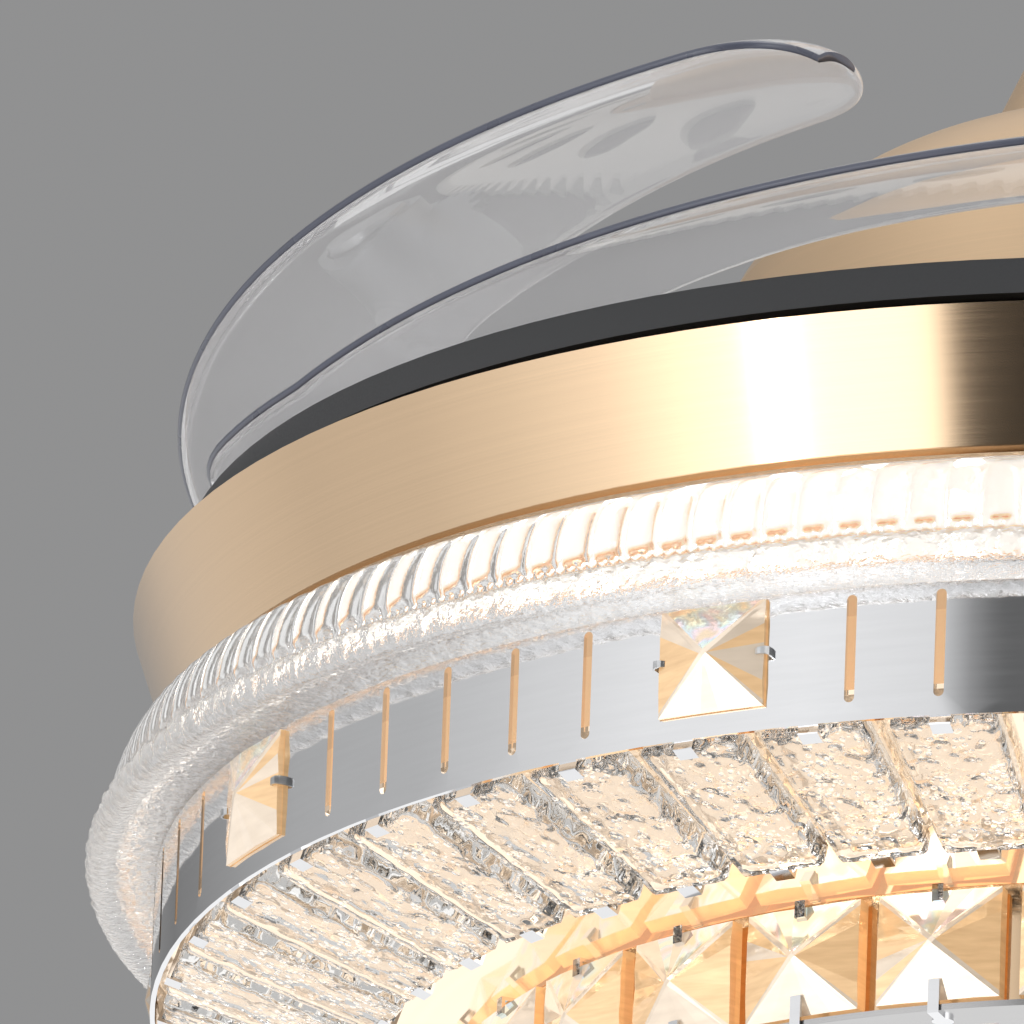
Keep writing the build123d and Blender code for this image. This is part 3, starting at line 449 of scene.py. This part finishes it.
# The amber and pale crystal materials carry a painted glow (emission), which stands in for light the crystals
# reflect and pass.
crystal_amber = glowing(finish("crystal_amber", (0.90, 0.64, 0.38), metallic=0.45, roughness=(0.04, 0.09),
                               scale=(90, 90, 700), spread=0.15, bump=0.05, depth=0.0002, Coat_Weight=1.0),
                        (1.0, 0.55, 0.22), 0.30)
crystal_pale = glowing(finish("crystal_pale", (0.93, 0.80, 0.66), metallic=0.45, roughness=(0.04, 0.09),
                              scale=(90, 90, 500), spread=0.08, bump=0.05, depth=0.0002, Coat_Weight=1.0),
                       (1.0, 0.74, 0.48), 0.16)


def iridescent(name):
    """Champagne crystal with a pearly rainbow coating and a painted glow (emission)."""
    material, nodes, links, shader = nodes_of(name)
    cloud = nodes.new("ShaderNodeTexNoise")
    cloud.inputs["Scale"].default_value = 1.0
    cloud.inputs["Detail"].default_value = 1.5
    cloud.inputs["Distortion"].default_value = 0.8
    links.new(coordinates(nodes, links, 110, False), cloud.inputs["Vector"])
    ramp = colour_ramp(nodes, PEARL_STOPS)
    links.new(cloud.outputs["Fac"], ramp.inputs["Fac"])
    links.new(ramp.outputs["Color"], shader.inputs["Base Color"])
    shader.inputs["Metallic"].default_value = 0.85
    shader.inputs["Roughness"].default_value = 0.06
    shader.inputs["Coat Weight"].default_value = 1.0
    return glowing(material, (1.0, 0.84, 0.72), 0.16)


crystal_pearl = iridescent("crystal_pearl")


def bubbly():
    """Pressed clear crystal with clusters of small round bubbles in its surface, painted glints (emission) on
    the bubbles' rims and a faint painted glow over the whole crystal.
    """
    material = clear("clear_crystal", (0.99, 0.99, 0.985), 0.008, CRYSTAL_IOR, 260, 0.15, 0.0003)
    nodes, links = material.node_tree.nodes, material.node_tree.links
    shader = nodes["Principled BSDF"]
    waves = next(node for node in nodes if node.type == "BUMP")
    maths = maths_in(nodes, links)
    source = nodes.new("ShaderNodeTexCoord")
    cells = nodes.new("ShaderNodeTexVoronoi")
    cells.inputs["Scale"].default_value = BUBBLE_SCALE
    links.new(source.outputs["Object"], cells.inputs["Vector"])
    dome = map_range(nodes, links, cells.outputs["Distance"], BUBBLE_FOOT, BUBBLE_TOP, smooth=True)
    cluster = nodes.new("ShaderNodeTexNoise")
    cluster.inputs["Scale"].default_value = CLUSTER_SCALE
    cluster.inputs["Detail"].default_value = 1.0
    links.new(source.outputs["Object"], cluster.inputs["Vector"])
    where = map_range(nodes, links, cluster.outputs["Fac"], CLUSTER_START, CLUSTER_FULL)
    height = maths("MULTIPLY", dome, where)
    relief = nodes.new("ShaderNodeBump")
    relief.inputs["Strength"].default_value = BUBBLE_RELIEF
    relief.inputs["Distance"].default_value = BUBBLE_HEIGHT
    links.new(height, relief.inputs["Height"])
    links.new(waves.outputs["Normal"], relief.inputs["Normal"])
    links.new(relief.outputs["Normal"], shader.inputs["Normal"])
    # Painted glints: emission on the bubbles' rims, over a faint painted glow everywhere
    rims = maths("MULTIPLY", height, maths("SUBTRACT", 1.0, dome))
    shader.inputs["Emission Color"].default_value = (1.0, 0.97, 0.93, 1)
    light = maths("MULTIPLY_ADD", rims, BUBBLE_RIM_LIGHT, CRYSTAL_LIGHT)
    links.new(light, shader.inputs["Emission Strength"])
    return material


crystal = bubbly()
crystal_edge = clear("crystal_edge", (0.99, 0.98, 0.96), 0.02, CRYSTAL_IOR, 200, 0.05, 0.0002)


def side_light():
    """Light strip behind the clear ring: a warm glow, dim towards its top, and a row of bright diodes."""
    material, nodes, links, shader = nodes_of("side_light")
    maths = maths_in(nodes, links)
    split = nodes.new("ShaderNodeSeparateXYZ")
    links.new(nodes.new("ShaderNodeTexCoord").outputs["Object"], split.inputs[0])
    x, y, z = (split.outputs[axis] for axis in "XYZ")
    level = map_range(nodes, links, z, drop(LEVEL_LOW_H) * MM, drop(LEVEL_HIGH_H) * MM)
    ramp = colour_ramp(nodes, STRIP_STOPS)
    links.new(level, ramp.inputs["Fac"])
    links.new(ramp.outputs["Color"], shader.inputs["Base Color"])
    links.new(ramp.outputs["Color"], shader.inputs["Emission Color"])
    shader.inputs["Roughness"].default_value = 0.4
    turn = maths("MULTIPLY", maths("ARCTAN2", y, x), DIODE_COUNT / TURN)
    across = maths("ABSOLUTE", maths("SUBTRACT", maths("FRACT", turn), 0.5))
    along = maths("ABSOLUTE", maths("SUBTRACT", z, drop(DIODE_H) * MM))
    diode = maths("MULTIPLY", maths("LESS_THAN", across, DIODE_HALF_SHARE),
                  maths("LESS_THAN", along, DIODE_HALF_TALL * MM))
    glow = maths("SUBTRACT", GLOW_LOW, maths("MULTIPLY", level, GLOW_LOW - GLOW_HIGH))
    glow = maths("MULTIPLY", glow, maths("GREATER_THAN", z, drop(GLOW_END_H) * MM))
    links.new(maths("ADD", glow, maths("MULTIPLY", diode, DIODE_POWER)), shader.inputs["Emission Strength"])
    return material


slots = {
    "gold_metal": gold_metal, "gold_paint": gold_paint, "black_paint": black_paint, "zinc_steel": zinc,
    "arm_steel": arm_steel, "white_paint": white_paint, "chrome": chrome, "gold_mirror": gold_mirror,
    "clear_plastic": blade_clear, "clear_acrylic": acrylic, "clear_crystal": crystal,
    "champagne_crystal": crystal_amber, "opal": opal, "nylon": nylon, "white_plastic": white_plastic,
    "board": board, "led": led, "laminations": laminations, "copper": copper, "magnet": magnet,
}
# The brick plate and the lamp core get the materials with a painted glow.
special = {"petal_plate": petal_chrome, "side_led_strip": side_light(), "brick_plate": mirror_with_painted_glow,
           "lamp_core": wall_with_painted_glow}
for part in frame["record"]["subparts"]:
    node = frame["nodes"][part["node"]]
    node.data.materials.clear()
    node.data.materials.append(special.get(part["node"], slots[part["material_slot"]]))


# Ribbed clear ring

def ring_profile():
    """(radius, h, zone) down the outside, along the underside and up the inside."""
    rows = [(RING_START, "plain")]
    rows += [(p, "rib") for p in arc_points(RING_START, SHOULDER_MID, SHOULDER_END, SHOULDER_STEPS)]
    rows += [(p, "rib") for p in arc_points(SHOULDER_END, WALL_MID, WALL_END, WALL_STEPS)]
    rows += [(p, "bead") for p in line_points(WALL_END, BEAD_END, BEAD_STEPS)]
    rows += [(p, "roll") for p in arc_points(BEAD_END, ROLL_MID, ROLL_END, ROLL_STEPS)]
    rows += [(p, "under") for p in line_points(ROLL_END, RING_FOOT, UNDER_STEPS)]
    rows += [(p, "plain") for p in line_points(RING_FOOT, RING_BACK, BACK_STEPS)]
    return [(r, h, zone) for (r, h), zone in rows]


def roundness(u):
    """Share of depth across one rounded rib, 0 on its crest."""
    return 1 - math.sqrt(max(0.0, 1 - (RIB_FULLNESS * u) ** 2))


def ring_inset(share, turn, r, h, zone):
    """How far the ribbed surface lies inside the smooth one, in millimetres."""
    u = 2 * share - 1
    if zone == "rib":
        crest = RIB_CREST_H - RIB_CREST_FALL * roundness(u)
        on_rib = eased((crest - h) / RIB_CREST_RUN)
        foot = eased((h - RIB_FOOT_H) / RIB_FOOT_RUN)
        grooved = RIB_DEPTH * roundness(u) + RIB_FOOT_INSET * (1 - foot)
        return RIB_TOP_INSET * (1 - on_rib) + on_rib * grooved
    if zone == "bead":
        v = 2 * ((share * BEADS_PER_RIB) % 1.0) - 1
        w = (h - BEAD_MID_H) / BEAD_HALF
        return BEAD_INSET + BEAD_DEPTH * (1 - math.sqrt(max(0.0, 1 - v * v - w * w)))
    if zone == "roll":
        lobe = eased((BEAD_END[1] - h) / LOBE_RUN)
        grooved = LOBE_DEPTH * roundness(u) * lobe * eased((h - LOBE_END_H) / LOBE_END_RUN)
        pebbled = pebbles(r * math.cos(turn), r * math.sin(turn), h, ROLL_PEBBLE, ROLL_PEBBLE_DEPTH)
        return LOBE_INSET * (1 - lobe) + grooved + pebbled
    return 0.0


def build_ring():
    rows = ring_profile()
    steps = RIB_COUNT * STEPS_PER_RIB
    verts = []
    for i in range(steps):
        turn = TURN * i / steps
        share = (i % STEPS_PER_RIB) / STEPS_PER_RIB
        cos, sin = math.cos(turn), math.sin(turn)
        for r, h, zone in rows:
            z = drop(h)
            if zone == "under":
                z += pebbles(r * cos, r * sin, h, UNDER_PEBBLE, UNDER_PEBBLE_DEPTH)
            else:
                r -= ring_inset(share, turn, r, h, zone)
            verts.append((r * cos, r * sin, z))
    faces = grid_faces(steps, len(rows), True, True, flip=True)
    pebbled = [int(zone in ("roll", "under")) for r, h, zone in rows]
    add_piece("clear_ribbed_ring", verts, faces, [acrylic, acrylic_pebbled], pebbled * steps, "pendant",
              "acrylic_ring")


# Retractable blades

def blade_station(share):
    """Angle, inner and outer radius, base height and shape share along the blade."""
    angle = BLADE_ROOT_DEG + (BLADE_REACH_DEG - BLADE_ROOT_DEG) * share
    widened = eased((angle - WIDEN_START_DEG) / (WIDEN_END_DEG - WIDEN_START_DEG))
    inner = BLADE_ROOT_INNER_R + (BLADE_TIP_INNER_R - BLADE_ROOT_INNER_R) * widened
    middle, half = (inner + BLADE_OUTER_R) / 2, (BLADE_OUTER_R - inner) / 2
    if share < ROOT_SHARE:
        half *= 1 - ROOT_TAPER_SHARE * (1 - share / ROOT_SHARE) ** 2
    if share > TIP_SHARE:
        run = (share - TIP_SHARE) / (1 - TIP_SHARE)
        half *= (1 - run ** TIP_POWER) ** (1 / TIP_POWER)
    climbed = max(angle - BLADE_FLAT_DEG, 0.0) / (BLADE_REACH_DEG - BLADE_FLAT_DEG)
    base = BLADE_BASE + BLADE_CLIMB * (climbed + CLIMB_BOW_SHARE * math.sin(TURN * climbed))
    return angle, middle - half, middle + half, base, eased((angle - BLADE_FLAT_DEG) / CAMBER_RUN_DEG)


def blade_section(share, turn):
    """Closed loop of points across the blade: cambered sheet with a rounded lip at either edge."""
    angle, inner, outer, base, shaped = blade_station(share)
    heading_angle = math.radians(angle) + turn
    width = outer - inner
    camber = BLADE_CAMBER * shaped * width / (BLADE_OUTER_R - BLADE_TIP_INNER_R)
    rise = BLADE_LIFT * shaped
    lip = min(LIP, width / LIP_WIDTH_SHARE)
    shoulder = lip * LIP_SHOULDER_SHARE
    under, over = [], []
    for k in range(BLADE_ACROSS + 1):
        s = k / BLADE_ACROSS
        thinned = EDGE_THINNING * max(0.0, 1 - min(s, 1 - s) * width / EDGE_RUN)
        level = base + rise * (1 - s) + 4 * camber * s * (1 - s)
        under.append((inner + width * s, level + thinned))
        over.append((inner + width * s, level + BLADE_THICKNESS - thinned))
    outer_lip = [(outer + shoulder, base + LIP_SHOULDER), (outer + lip, base + BLADE_THICKNESS / 2),
                 (outer + shoulder, base + BLADE_THICKNESS - LIP_SHOULDER)]
    inner_lip = [(inner - shoulder, base + rise + BLADE_THICKNESS - LIP_SHOULDER),
                 (inner - lip, base + rise + BLADE_THICKNESS / 2),
                 (inner - shoulder, base + rise + LIP_SHOULDER)]
    points = under + outer_lip + over[::-1] + inner_lip
    cos, sin = math.cos(heading_angle), math.sin(heading_angle)
    return [(r * cos, r * sin, z) for r, z in points]


def build_blade(number):
    turn = math.radians(BLADE_PHASE_DEG + 90.0 * (number - 1))
    shares = [TIP_SHARE * k / BLADE_BODY_STEPS for k in range(BLADE_BODY_STEPS + 1)]
    shares += [TIP_SHARE + (TIP_END_SHARE - TIP_SHARE) * math.sin(math.pi / 2 * k / BLADE_TIP_STEPS)
               for k in range(1, BLADE_TIP_STEPS + 1)]
    loops = [blade_section(share, turn) for share in shares]
    verts = [point for loop in loops for point in loop]
    count = len(loops[0])
    last = (len(shares) - 1) * count
    faces = grid_faces(len(shares), count, False, True)
    faces.append(tuple(range(count)))
    faces.append(tuple(range(last, last + count))[::-1])
    rim_row = [int(BLADE_ACROSS <= c <= BLADE_ACROSS + 3) for c in range(count)]
    rims = rim_row * (len(shares) - 1) + [1, 1]
    add_piece(f"blade_sheet_{number}", verts, faces, [blade_clear, blade_rim], rims, f"blade_body_{number}",
              f"blade_{number}")


# Crystal bricks

def brick_half_width(v, length):
    """Half width of a brick at a distance from its outer end, corners rounded."""
    half = BRICK_OUTER_HALF + (BRICK_INNER_HALF - BRICK_OUTER_HALF) * v / length
    end = min(v, length - v)
    if end < BRICK_CORNER:
        half -= BRICK_CORNER - math.sqrt(max(0.0, BRICK_CORNER ** 2 - (BRICK_CORNER - end) ** 2))
    return half


def brick_depth(x, v, length, rim, back):
    """Level of a brick's front or back against its face plane, negative into the brick."""
    if rim:
        return BRICK_BEVEL - BRICK_THICKNESS if back else -BRICK_BEVEL
    if back:
        return -BRICK_THICKNESS + pebbles(x, v, BACK_PEBBLE_LEVEL, BACK_PEBBLE, BACK_PEBBLE_DEPTH)
    towards_end = eased(abs(v / length - 0.5) * END_PEBBLE_RISE - END_PEBBLE_START)
    ends = MIDDLE_PEBBLE_SHARE + (1 - MIDDLE_PEBBLE_SHARE) * towards_end
    return -pebbles(x, v, FRONT_PEBBLE_LEVEL, FRONT_PEBBLE, FRONT_PEBBLE_DEPTH) * ends


def build_bricks():
    slope = math.atan2(BRICK_DROP, BRICK_OUTER_R - BRICK_INNER_R)
    length = math.hypot(BRICK_DROP, BRICK_OUTER_R - BRICK_INNER_R)
    rows = [BRICK_BEVEL + (length - 2 * BRICK_BEVEL) * k / BRICK_ROWS for k in range(1, BRICK_ROWS)]
    rows = [0.0, BRICK_BEVEL, *rows, length - BRICK_BEVEL, length]
    edge = BRICK_BEVEL / BRICK_OUTER_HALF
    columns = [-1 + edge + (2 - 2 * edge) * k / BRICK_COLUMNS for k in range(BRICK_COLUMNS + 1)]
    columns = [-1.0, *columns, 1.0]
    count_r, count_c = len(rows), len(columns)
    size = count_r * count_c
    border = list(range(count_c))
    border += [r * count_c + count_c - 1 for r in range(1, count_r)]
    border += [(count_r - 1) * count_c + c for c in range(count_c - 2, -1, -1)]
    border += [r * count_c for r in range(count_r - 2, 0, -1)]
    bevelled = [int(r in (0, count_r - 2) or c in (0, count_c - 2))
                for r in range(count_r - 1) for c in range(count_c - 1)]
    verts, faces = [], []
    for number in range(BRICK_COUNT):
        turn = heading(BRICK_PHASE_DEG) + TURN * number / BRICK_COUNT
        cos, sin = math.cos(turn), math.sin(turn)
        seed = number * BRICK_SEED_STEP
        start = len(verts)
        for back in (False, True):
            for i, v in enumerate(rows):
                half = brick_half_width(v, length)
                for j, u in enumerate(columns):
                    rim = i in (0, count_r - 1) or j in (0, count_c - 1)
                    across = u * half
                    depth = brick_depth(across + seed, v, length, rim, back)
                    radial = BRICK_OUTER_R - v * math.cos(slope) + depth * math.sin(slope)
                    z = drop(BRICK_FACE_H) - v * math.sin(slope) - depth * math.cos(slope)
                    verts.append((radial * cos - across * sin, radial * sin + across * cos, z))
        faces += grid_faces(count_r, count_c, False, False, start)
        faces += grid_faces(count_r, count_c, False, False, start + size, flip=True)
        for a, b in zip(border, border[1:] + border[:1]):
            faces.append((start + a, start + b, start + size + b, start + size + a))
    add_piece("cut_crystal_bricks", verts, faces, [crystal, crystal_edge],
              (bevelled * 2 + [1] * len(border)) * BRICK_COUNT, "pendant", "crystal_bricks")


# Square cut crystals

CHANCE_STEP, CHANCE_SPREAD = 12.9898, 43758.5453


def chance(number):
    """Repeatable share between 0 and 1 for a whole number."""
    value = math.sin(number * CHANCE_STEP) * CHANCE_SPREAD
    return value - math.floor(value)


def build_squares(name, node_name, count, phase_deg, seat_r, mid_h, width, tall, base, point, seed):
    """Square crystals: four sides cut in narrow fans, strips along the diagonals and a small table."""
    verts, faces, tints = [], [], []
    half_w, half_t = width / 2, tall / 2
    corners = [(-half_w, -half_t), (half_w, -half_t), (half_w, half_t), (-half_w, half_t)]
    per_side = FAN_CUTS + 1
    for number in range(count):
        turn = heading(phase_deg) + TURN * number / count
        cos, sin = math.cos(turn), math.sin(turn)
        start = len(verts)
        local = [(0.0, y, z) for y, z in corners] + [(base, y, z) for y, z in corners]
        for k in range(4):
            here, after = corners[k], corners[(k + 1) % 4]
            side = math.dist(here, after)
            for step in range(per_side):
                along = STRIP_END + (side - 2 * STRIP_END) * step / FAN_CUTS
                raised = 0
                if 0 < step < FAN_CUTS:
                    draw = chance(seed + 7 * k + 31 * step + number)
                    raised = CREASE * (CREASE_LEAST_SHARE + (1 - CREASE_LEAST_SHARE) * draw)
                local.append((base + raised, here[0] + (after[0] - here[0]) * along / side,
                              here[1] + (after[1] - here[1]) * along / side))
        for k in range(4):
            here, after = corners[k], corners[(k + 1) % 4]
            edge = ((here[0] + after[0]) / 2, (here[1] + after[1]) / 2)
            size = math.hypot(*edge)
            local.append((base + point, edge[0] / size * TABLE_HALF, edge[1] / size * TABLE_HALF))
        for x, y, z in local:
            radial = seat_r + x
            verts.append((radial * cos - y * sin, radial * sin + y * cos, drop(mid_h) + z))
        faces.append(tuple(start + k for k in (3, 2, 1, 0)))
        tints.append(0)
        fan = start + 8
        tops = fan + 4 * per_side
        for k in range(4):
            nxt = (k + 1) % 4
            row = [fan + per_side * k + step for step in range(per_side)]
            faces.append((start + k, start + nxt, start + 4 + nxt, *row[::-1], start + 4 + k))
            tints.append(0)
            for step in range(FAN_CUTS):
                faces.append((row[step], row[step + 1], tops + k))
                # Fan facets take their side's painted reflection tint, with a random share pale instead.
                draw = chance(number * 40 + k * 9 + step + seed)
                tints.append(SIDE_REFLECTION_TINTS[k] if draw < USUAL_TINT_SHARE else 1)
            faces.append((row[-1], start + 4 + nxt, fan + per_side * nxt, tops + nxt, tops + k))
            tints.append(1)
        faces.append(tuple(tops + k for k in range(4)))
        tints.append(1)
    add_piece(name, verts, faces, [crystal_amber, crystal_pale, crystal_pearl], tints, "pendant",
              node_name, smooth=False)


def build_hooks():
    """Small bent tongues that hold the band's square crystals at mid height."""
    path = [(HOOK_R + outwards, sideways) for outwards, sideways in HOOK_PATH]
    final = len(path) - 1
    verts, faces = [], []
    for number in range(SQUARE_COUNT):
        turn = heading(SQUARE_PHASE_DEG) + TURN * number / SQUARE_COUNT
        cos, sin = math.cos(turn), math.sin(turn)
        for side in (-1, 1):
            start = len(verts)
            for k, (x, y) in enumerate(path):
                before, after = path[max(k - 1, 0)], path[min(k + 1, final)]
                run = math.dist(before, after)
                away_x = (before[1] - after[1]) / run * HOOK_THICKNESS
                away_y = (after[0] - before[0]) / run * HOOK_THICKNESS
                narrow = HOOK_HALF_TALL * (1 - HOOK_TAPER * k / final)
                for dx, dy, dz in ((0, 0, -narrow), (away_x, away_y, -narrow), (away_x, away_y, narrow),
                                   (0, 0, narrow)):
                    radial, across = x + dx, side * (HOOK_HALF_GAP + y + dy)
                    verts.append((radial * cos - across * sin, radial * sin + across * cos,
                                  drop(SQUARE_MID_H) + dz))
            flip = side > 0
            faces += grid_faces(len(path), 4, False, True, start, flip=flip)
            last = start + 4 * final
            ends = [(start, start + 1, start + 2, start + 3), (last + 3, last + 2, last + 1, last)]
            faces += [end[::-1] for end in ends] if flip else ends
    add_piece("crystal_hooks", verts, faces, [zinc], [0] * len(faces), "pendant", "band_clips",
              smooth=False)


build_ring()
build_hooks()
for blade_number in range(1, BLADE_COUNT + 1):
    build_blade(blade_number)
build_bricks()
for square_row in SQUARE_ROWS:
    build_squares(*square_row)


# Floor, far below: pale from above, see-through from below

FLOOR_HALF = 12.0
FLOOR_LEVEL = -4.7


def build_floor():
    corners = [(x * FLOOR_HALF, y * FLOOR_HALF, FLOOR_LEVEL) for x, y in ((-1, -1), (1, -1), (1, 1), (-1, 1))]
    mesh = bpy.data.meshes.new("floor")
    mesh.from_pydata(corners, [], [(0, 1, 2, 3)])
    floor = bpy.data.objects.new("floor", mesh)
    bpy.context.scene.collection.objects.link(floor)
    material, nodes, links, shader = nodes_of("pale_floor")
    shader.inputs["Base Color"].default_value = (0.72, 0.72, 0.71, 1)
    shader.inputs["Roughness"].default_value = 0.9
    see_through = nodes.new("ShaderNodeBsdfTransparent")
    side = nodes.new("ShaderNodeNewGeometry")
    sides = nodes.new("ShaderNodeMixShader")
    links.new(side.outputs["Backfacing"], sides.inputs["Fac"])
    links.new(shader.outputs[0], sides.inputs[1])
    links.new(see_through.outputs[0], sides.inputs[2])
    links.new(sides.outputs[0], nodes["Material Output"].inputs["Surface"])
    mesh.materials.append(material)
    floor.visible_glossy = False


build_floor()


# Studio: five lamps in a grey room, given as (share of a half turn away from the camera's side, grey)

LOW_ROOM = ((0.0, 0.045), (0.157, 0.045), (0.170, 2.1), (0.25, 2.3), (0.32, 1.9), (0.38, 1.25), (0.45, 0.92),
            (0.52, 0.74), (0.62, 0.68), (0.8, 0.9), (1.0, 1.05))
HIGH_ROOM = ((0.0, 0.10), (0.135, 0.14), (0.16, 0.8), (0.25, 0.95), (0.36, 0.9), (0.45, 0.7), (0.54, 0.5),
             (0.65, 0.45), (0.78, 0.3), (0.86, 0.2), (1.0, 0.3))
ROOM_RISE = (0.0, 0.33)
CEILING_RISE = (0.5, 0.9)
CEILING_GREY = (0.85, 0.85, 0.85)
ROOM_GREY = (0.74, 0.74, 0.75)
SEEN_GREY = (0.282, 0.282, 0.284)
LEAST_FLAT = 0.001

# Lamps: (name, place, size, power, whether it shows in reflections)
LAMPS = (
    ("key", (-2.2, -1.8, -1.4), 1.2, 26, False),
    ("top", (0.8, -0.6, 2.2), 1.4, 26, True),
    ("glint_left", (-2.16, -2.08, -0.9), 0.12, 3, True),
    ("glint_right", (1.7, -2.3, -0.6), 0.12, 5, True),
    ("glint_back", (0.4, 2.8, -1.0), 0.12, 5, True),
)
LAMP_AIM = (0, 0, -0.36)


def build_world():
    world = bpy.data.worlds.new("studio")
    world.use_nodes = True
    bpy.context.scene.world = world
    nodes, links = world.node_tree.nodes, world.node_tree.links
    maths = maths_in(nodes, links)
    split = nodes.new("ShaderNodeSeparateXYZ")
    links.new(nodes.new("ShaderNodeTexCoord").outputs["Generated"], split.inputs[0])
    x, y, z = (split.outputs[axis] for axis in "XYZ")
    flat = maths("SQRT", maths("ADD", maths("MULTIPLY", x, x), maths("MULTIPLY", y, y)))
    facing = maths("DIVIDE", maths("MULTIPLY", y, -1.0), maths("MAXIMUM", flat, LEAST_FLAT))
    side_share = maths("DIVIDE", maths("ARCCOSINE", facing), math.pi)
    low, high = (colour_ramp(nodes, [(position, (grey,) * 3) for position, grey in stops])
                 for stops in (LOW_ROOM, HIGH_ROOM))
    for ramp in (low, high):
        links.new(side_share, ramp.inputs["Fac"])
    risen = map_range(nodes, links, z, *ROOM_RISE, smooth=True)
    studio = mix_colours(nodes, links, risen, low.outputs["Color"], high.outputs["Color"])
    overhead = map_range(nodes, links, z, *CEILING_RISE, smooth=True)
    dome = mix_colours(nodes, links, overhead, studio, CEILING_GREY)
    path = nodes.new("ShaderNodeLightPath")
    straight = maths("MULTIPLY", path.outputs["Is Transmission Ray"],
                     maths("LESS_THAN", path.outputs["Glossy Depth"], 0.5))
    seen = maths("MAXIMUM", path.outputs["Is Camera Ray"], straight)
    shiny = maths("MAXIMUM", path.outputs["Is Glossy Ray"], path.outputs["Is Transmission Ray"])
    lit = mix_colours(nodes, links, shiny, ROOM_GREY, dome)
    links.new(mix_colours(nodes, links, seen, lit, SEEN_GREY), nodes["Background"].inputs["Color"])
    nodes["Background"].inputs["Strength"].default_value = 1.0


def area_lamp(name, place, size, power, shines):
    data = bpy.data.lights.new(name, "AREA")
    data.size = size
    data.energy = power
    lamp = bpy.data.objects.new(name, data)
    bpy.context.scene.collection.objects.link(lamp)
    lamp.location = place
    lamp.rotation_mode = "QUATERNION"
    lamp.rotation_quaternion = (Vector(LAMP_AIM) - Vector(place)).to_track_quat("-Z", "Y")
    lamp.visible_camera = False
    lamp.visible_glossy = shines


build_world()
for lamp_row in LAMPS:
    area_lamp(*lamp_row)


# Camera, fitted to the photograph: pixels per millimetre at the axis, then angles in radians

CAMERA_REACH = 10.0
CAMERA_SCALE = 4.194011
CAMERA_YAW = -0.0177264
CAMERA_TILT = 0.0029544
CAMERA_ROLL = 0.036255
CAMERA_BELOW = 0.331006
PICTURE_PIXELS = 1024


def place_camera():
    """Camera at the photograph's angle: below the lamp, looking up, near its left half."""
    place = Vector((0, -CAMERA_REACH * math.cos(CAMERA_BELOW),
                    -CAMERA_REACH * math.sin(CAMERA_BELOW) - BAND_DROP * MM))
    pitch = CAMERA_TILT + CAMERA_BELOW
    cos_yaw, sin_yaw = math.cos(CAMERA_YAW), math.sin(CAMERA_YAW)
    cos_roll, sin_roll = math.cos(CAMERA_ROLL), math.sin(CAMERA_ROLL)
    ahead = Vector((sin_yaw * math.cos(pitch), cos_yaw * math.cos(pitch), math.sin(pitch)))
    level_right = Vector((cos_yaw, -sin_yaw, 0))
    level_up = level_right.cross(ahead)
    right = cos_roll * level_right + sin_roll * level_up
    up = -sin_roll * level_right + cos_roll * level_up
    data = bpy.data.cameras.new("camera")
    data.sensor_width = 36.0
    data.lens = CAMERA_SCALE * CAMERA_REACH * MM_PER_METRE / PICTURE_PIXELS * data.sensor_width
    data.clip_start, data.clip_end = 0.1, 200.0
    camera = bpy.data.objects.new("camera", data)
    bpy.context.scene.collection.objects.link(camera)
    turn = Matrix((right, up, -ahead)).transposed()
    camera.matrix_world = Matrix.Translation(place) @ turn.to_4x4()
    bpy.context.scene.camera = camera


place_camera()
bpy.context.scene.view_settings.view_transform = "Standard"
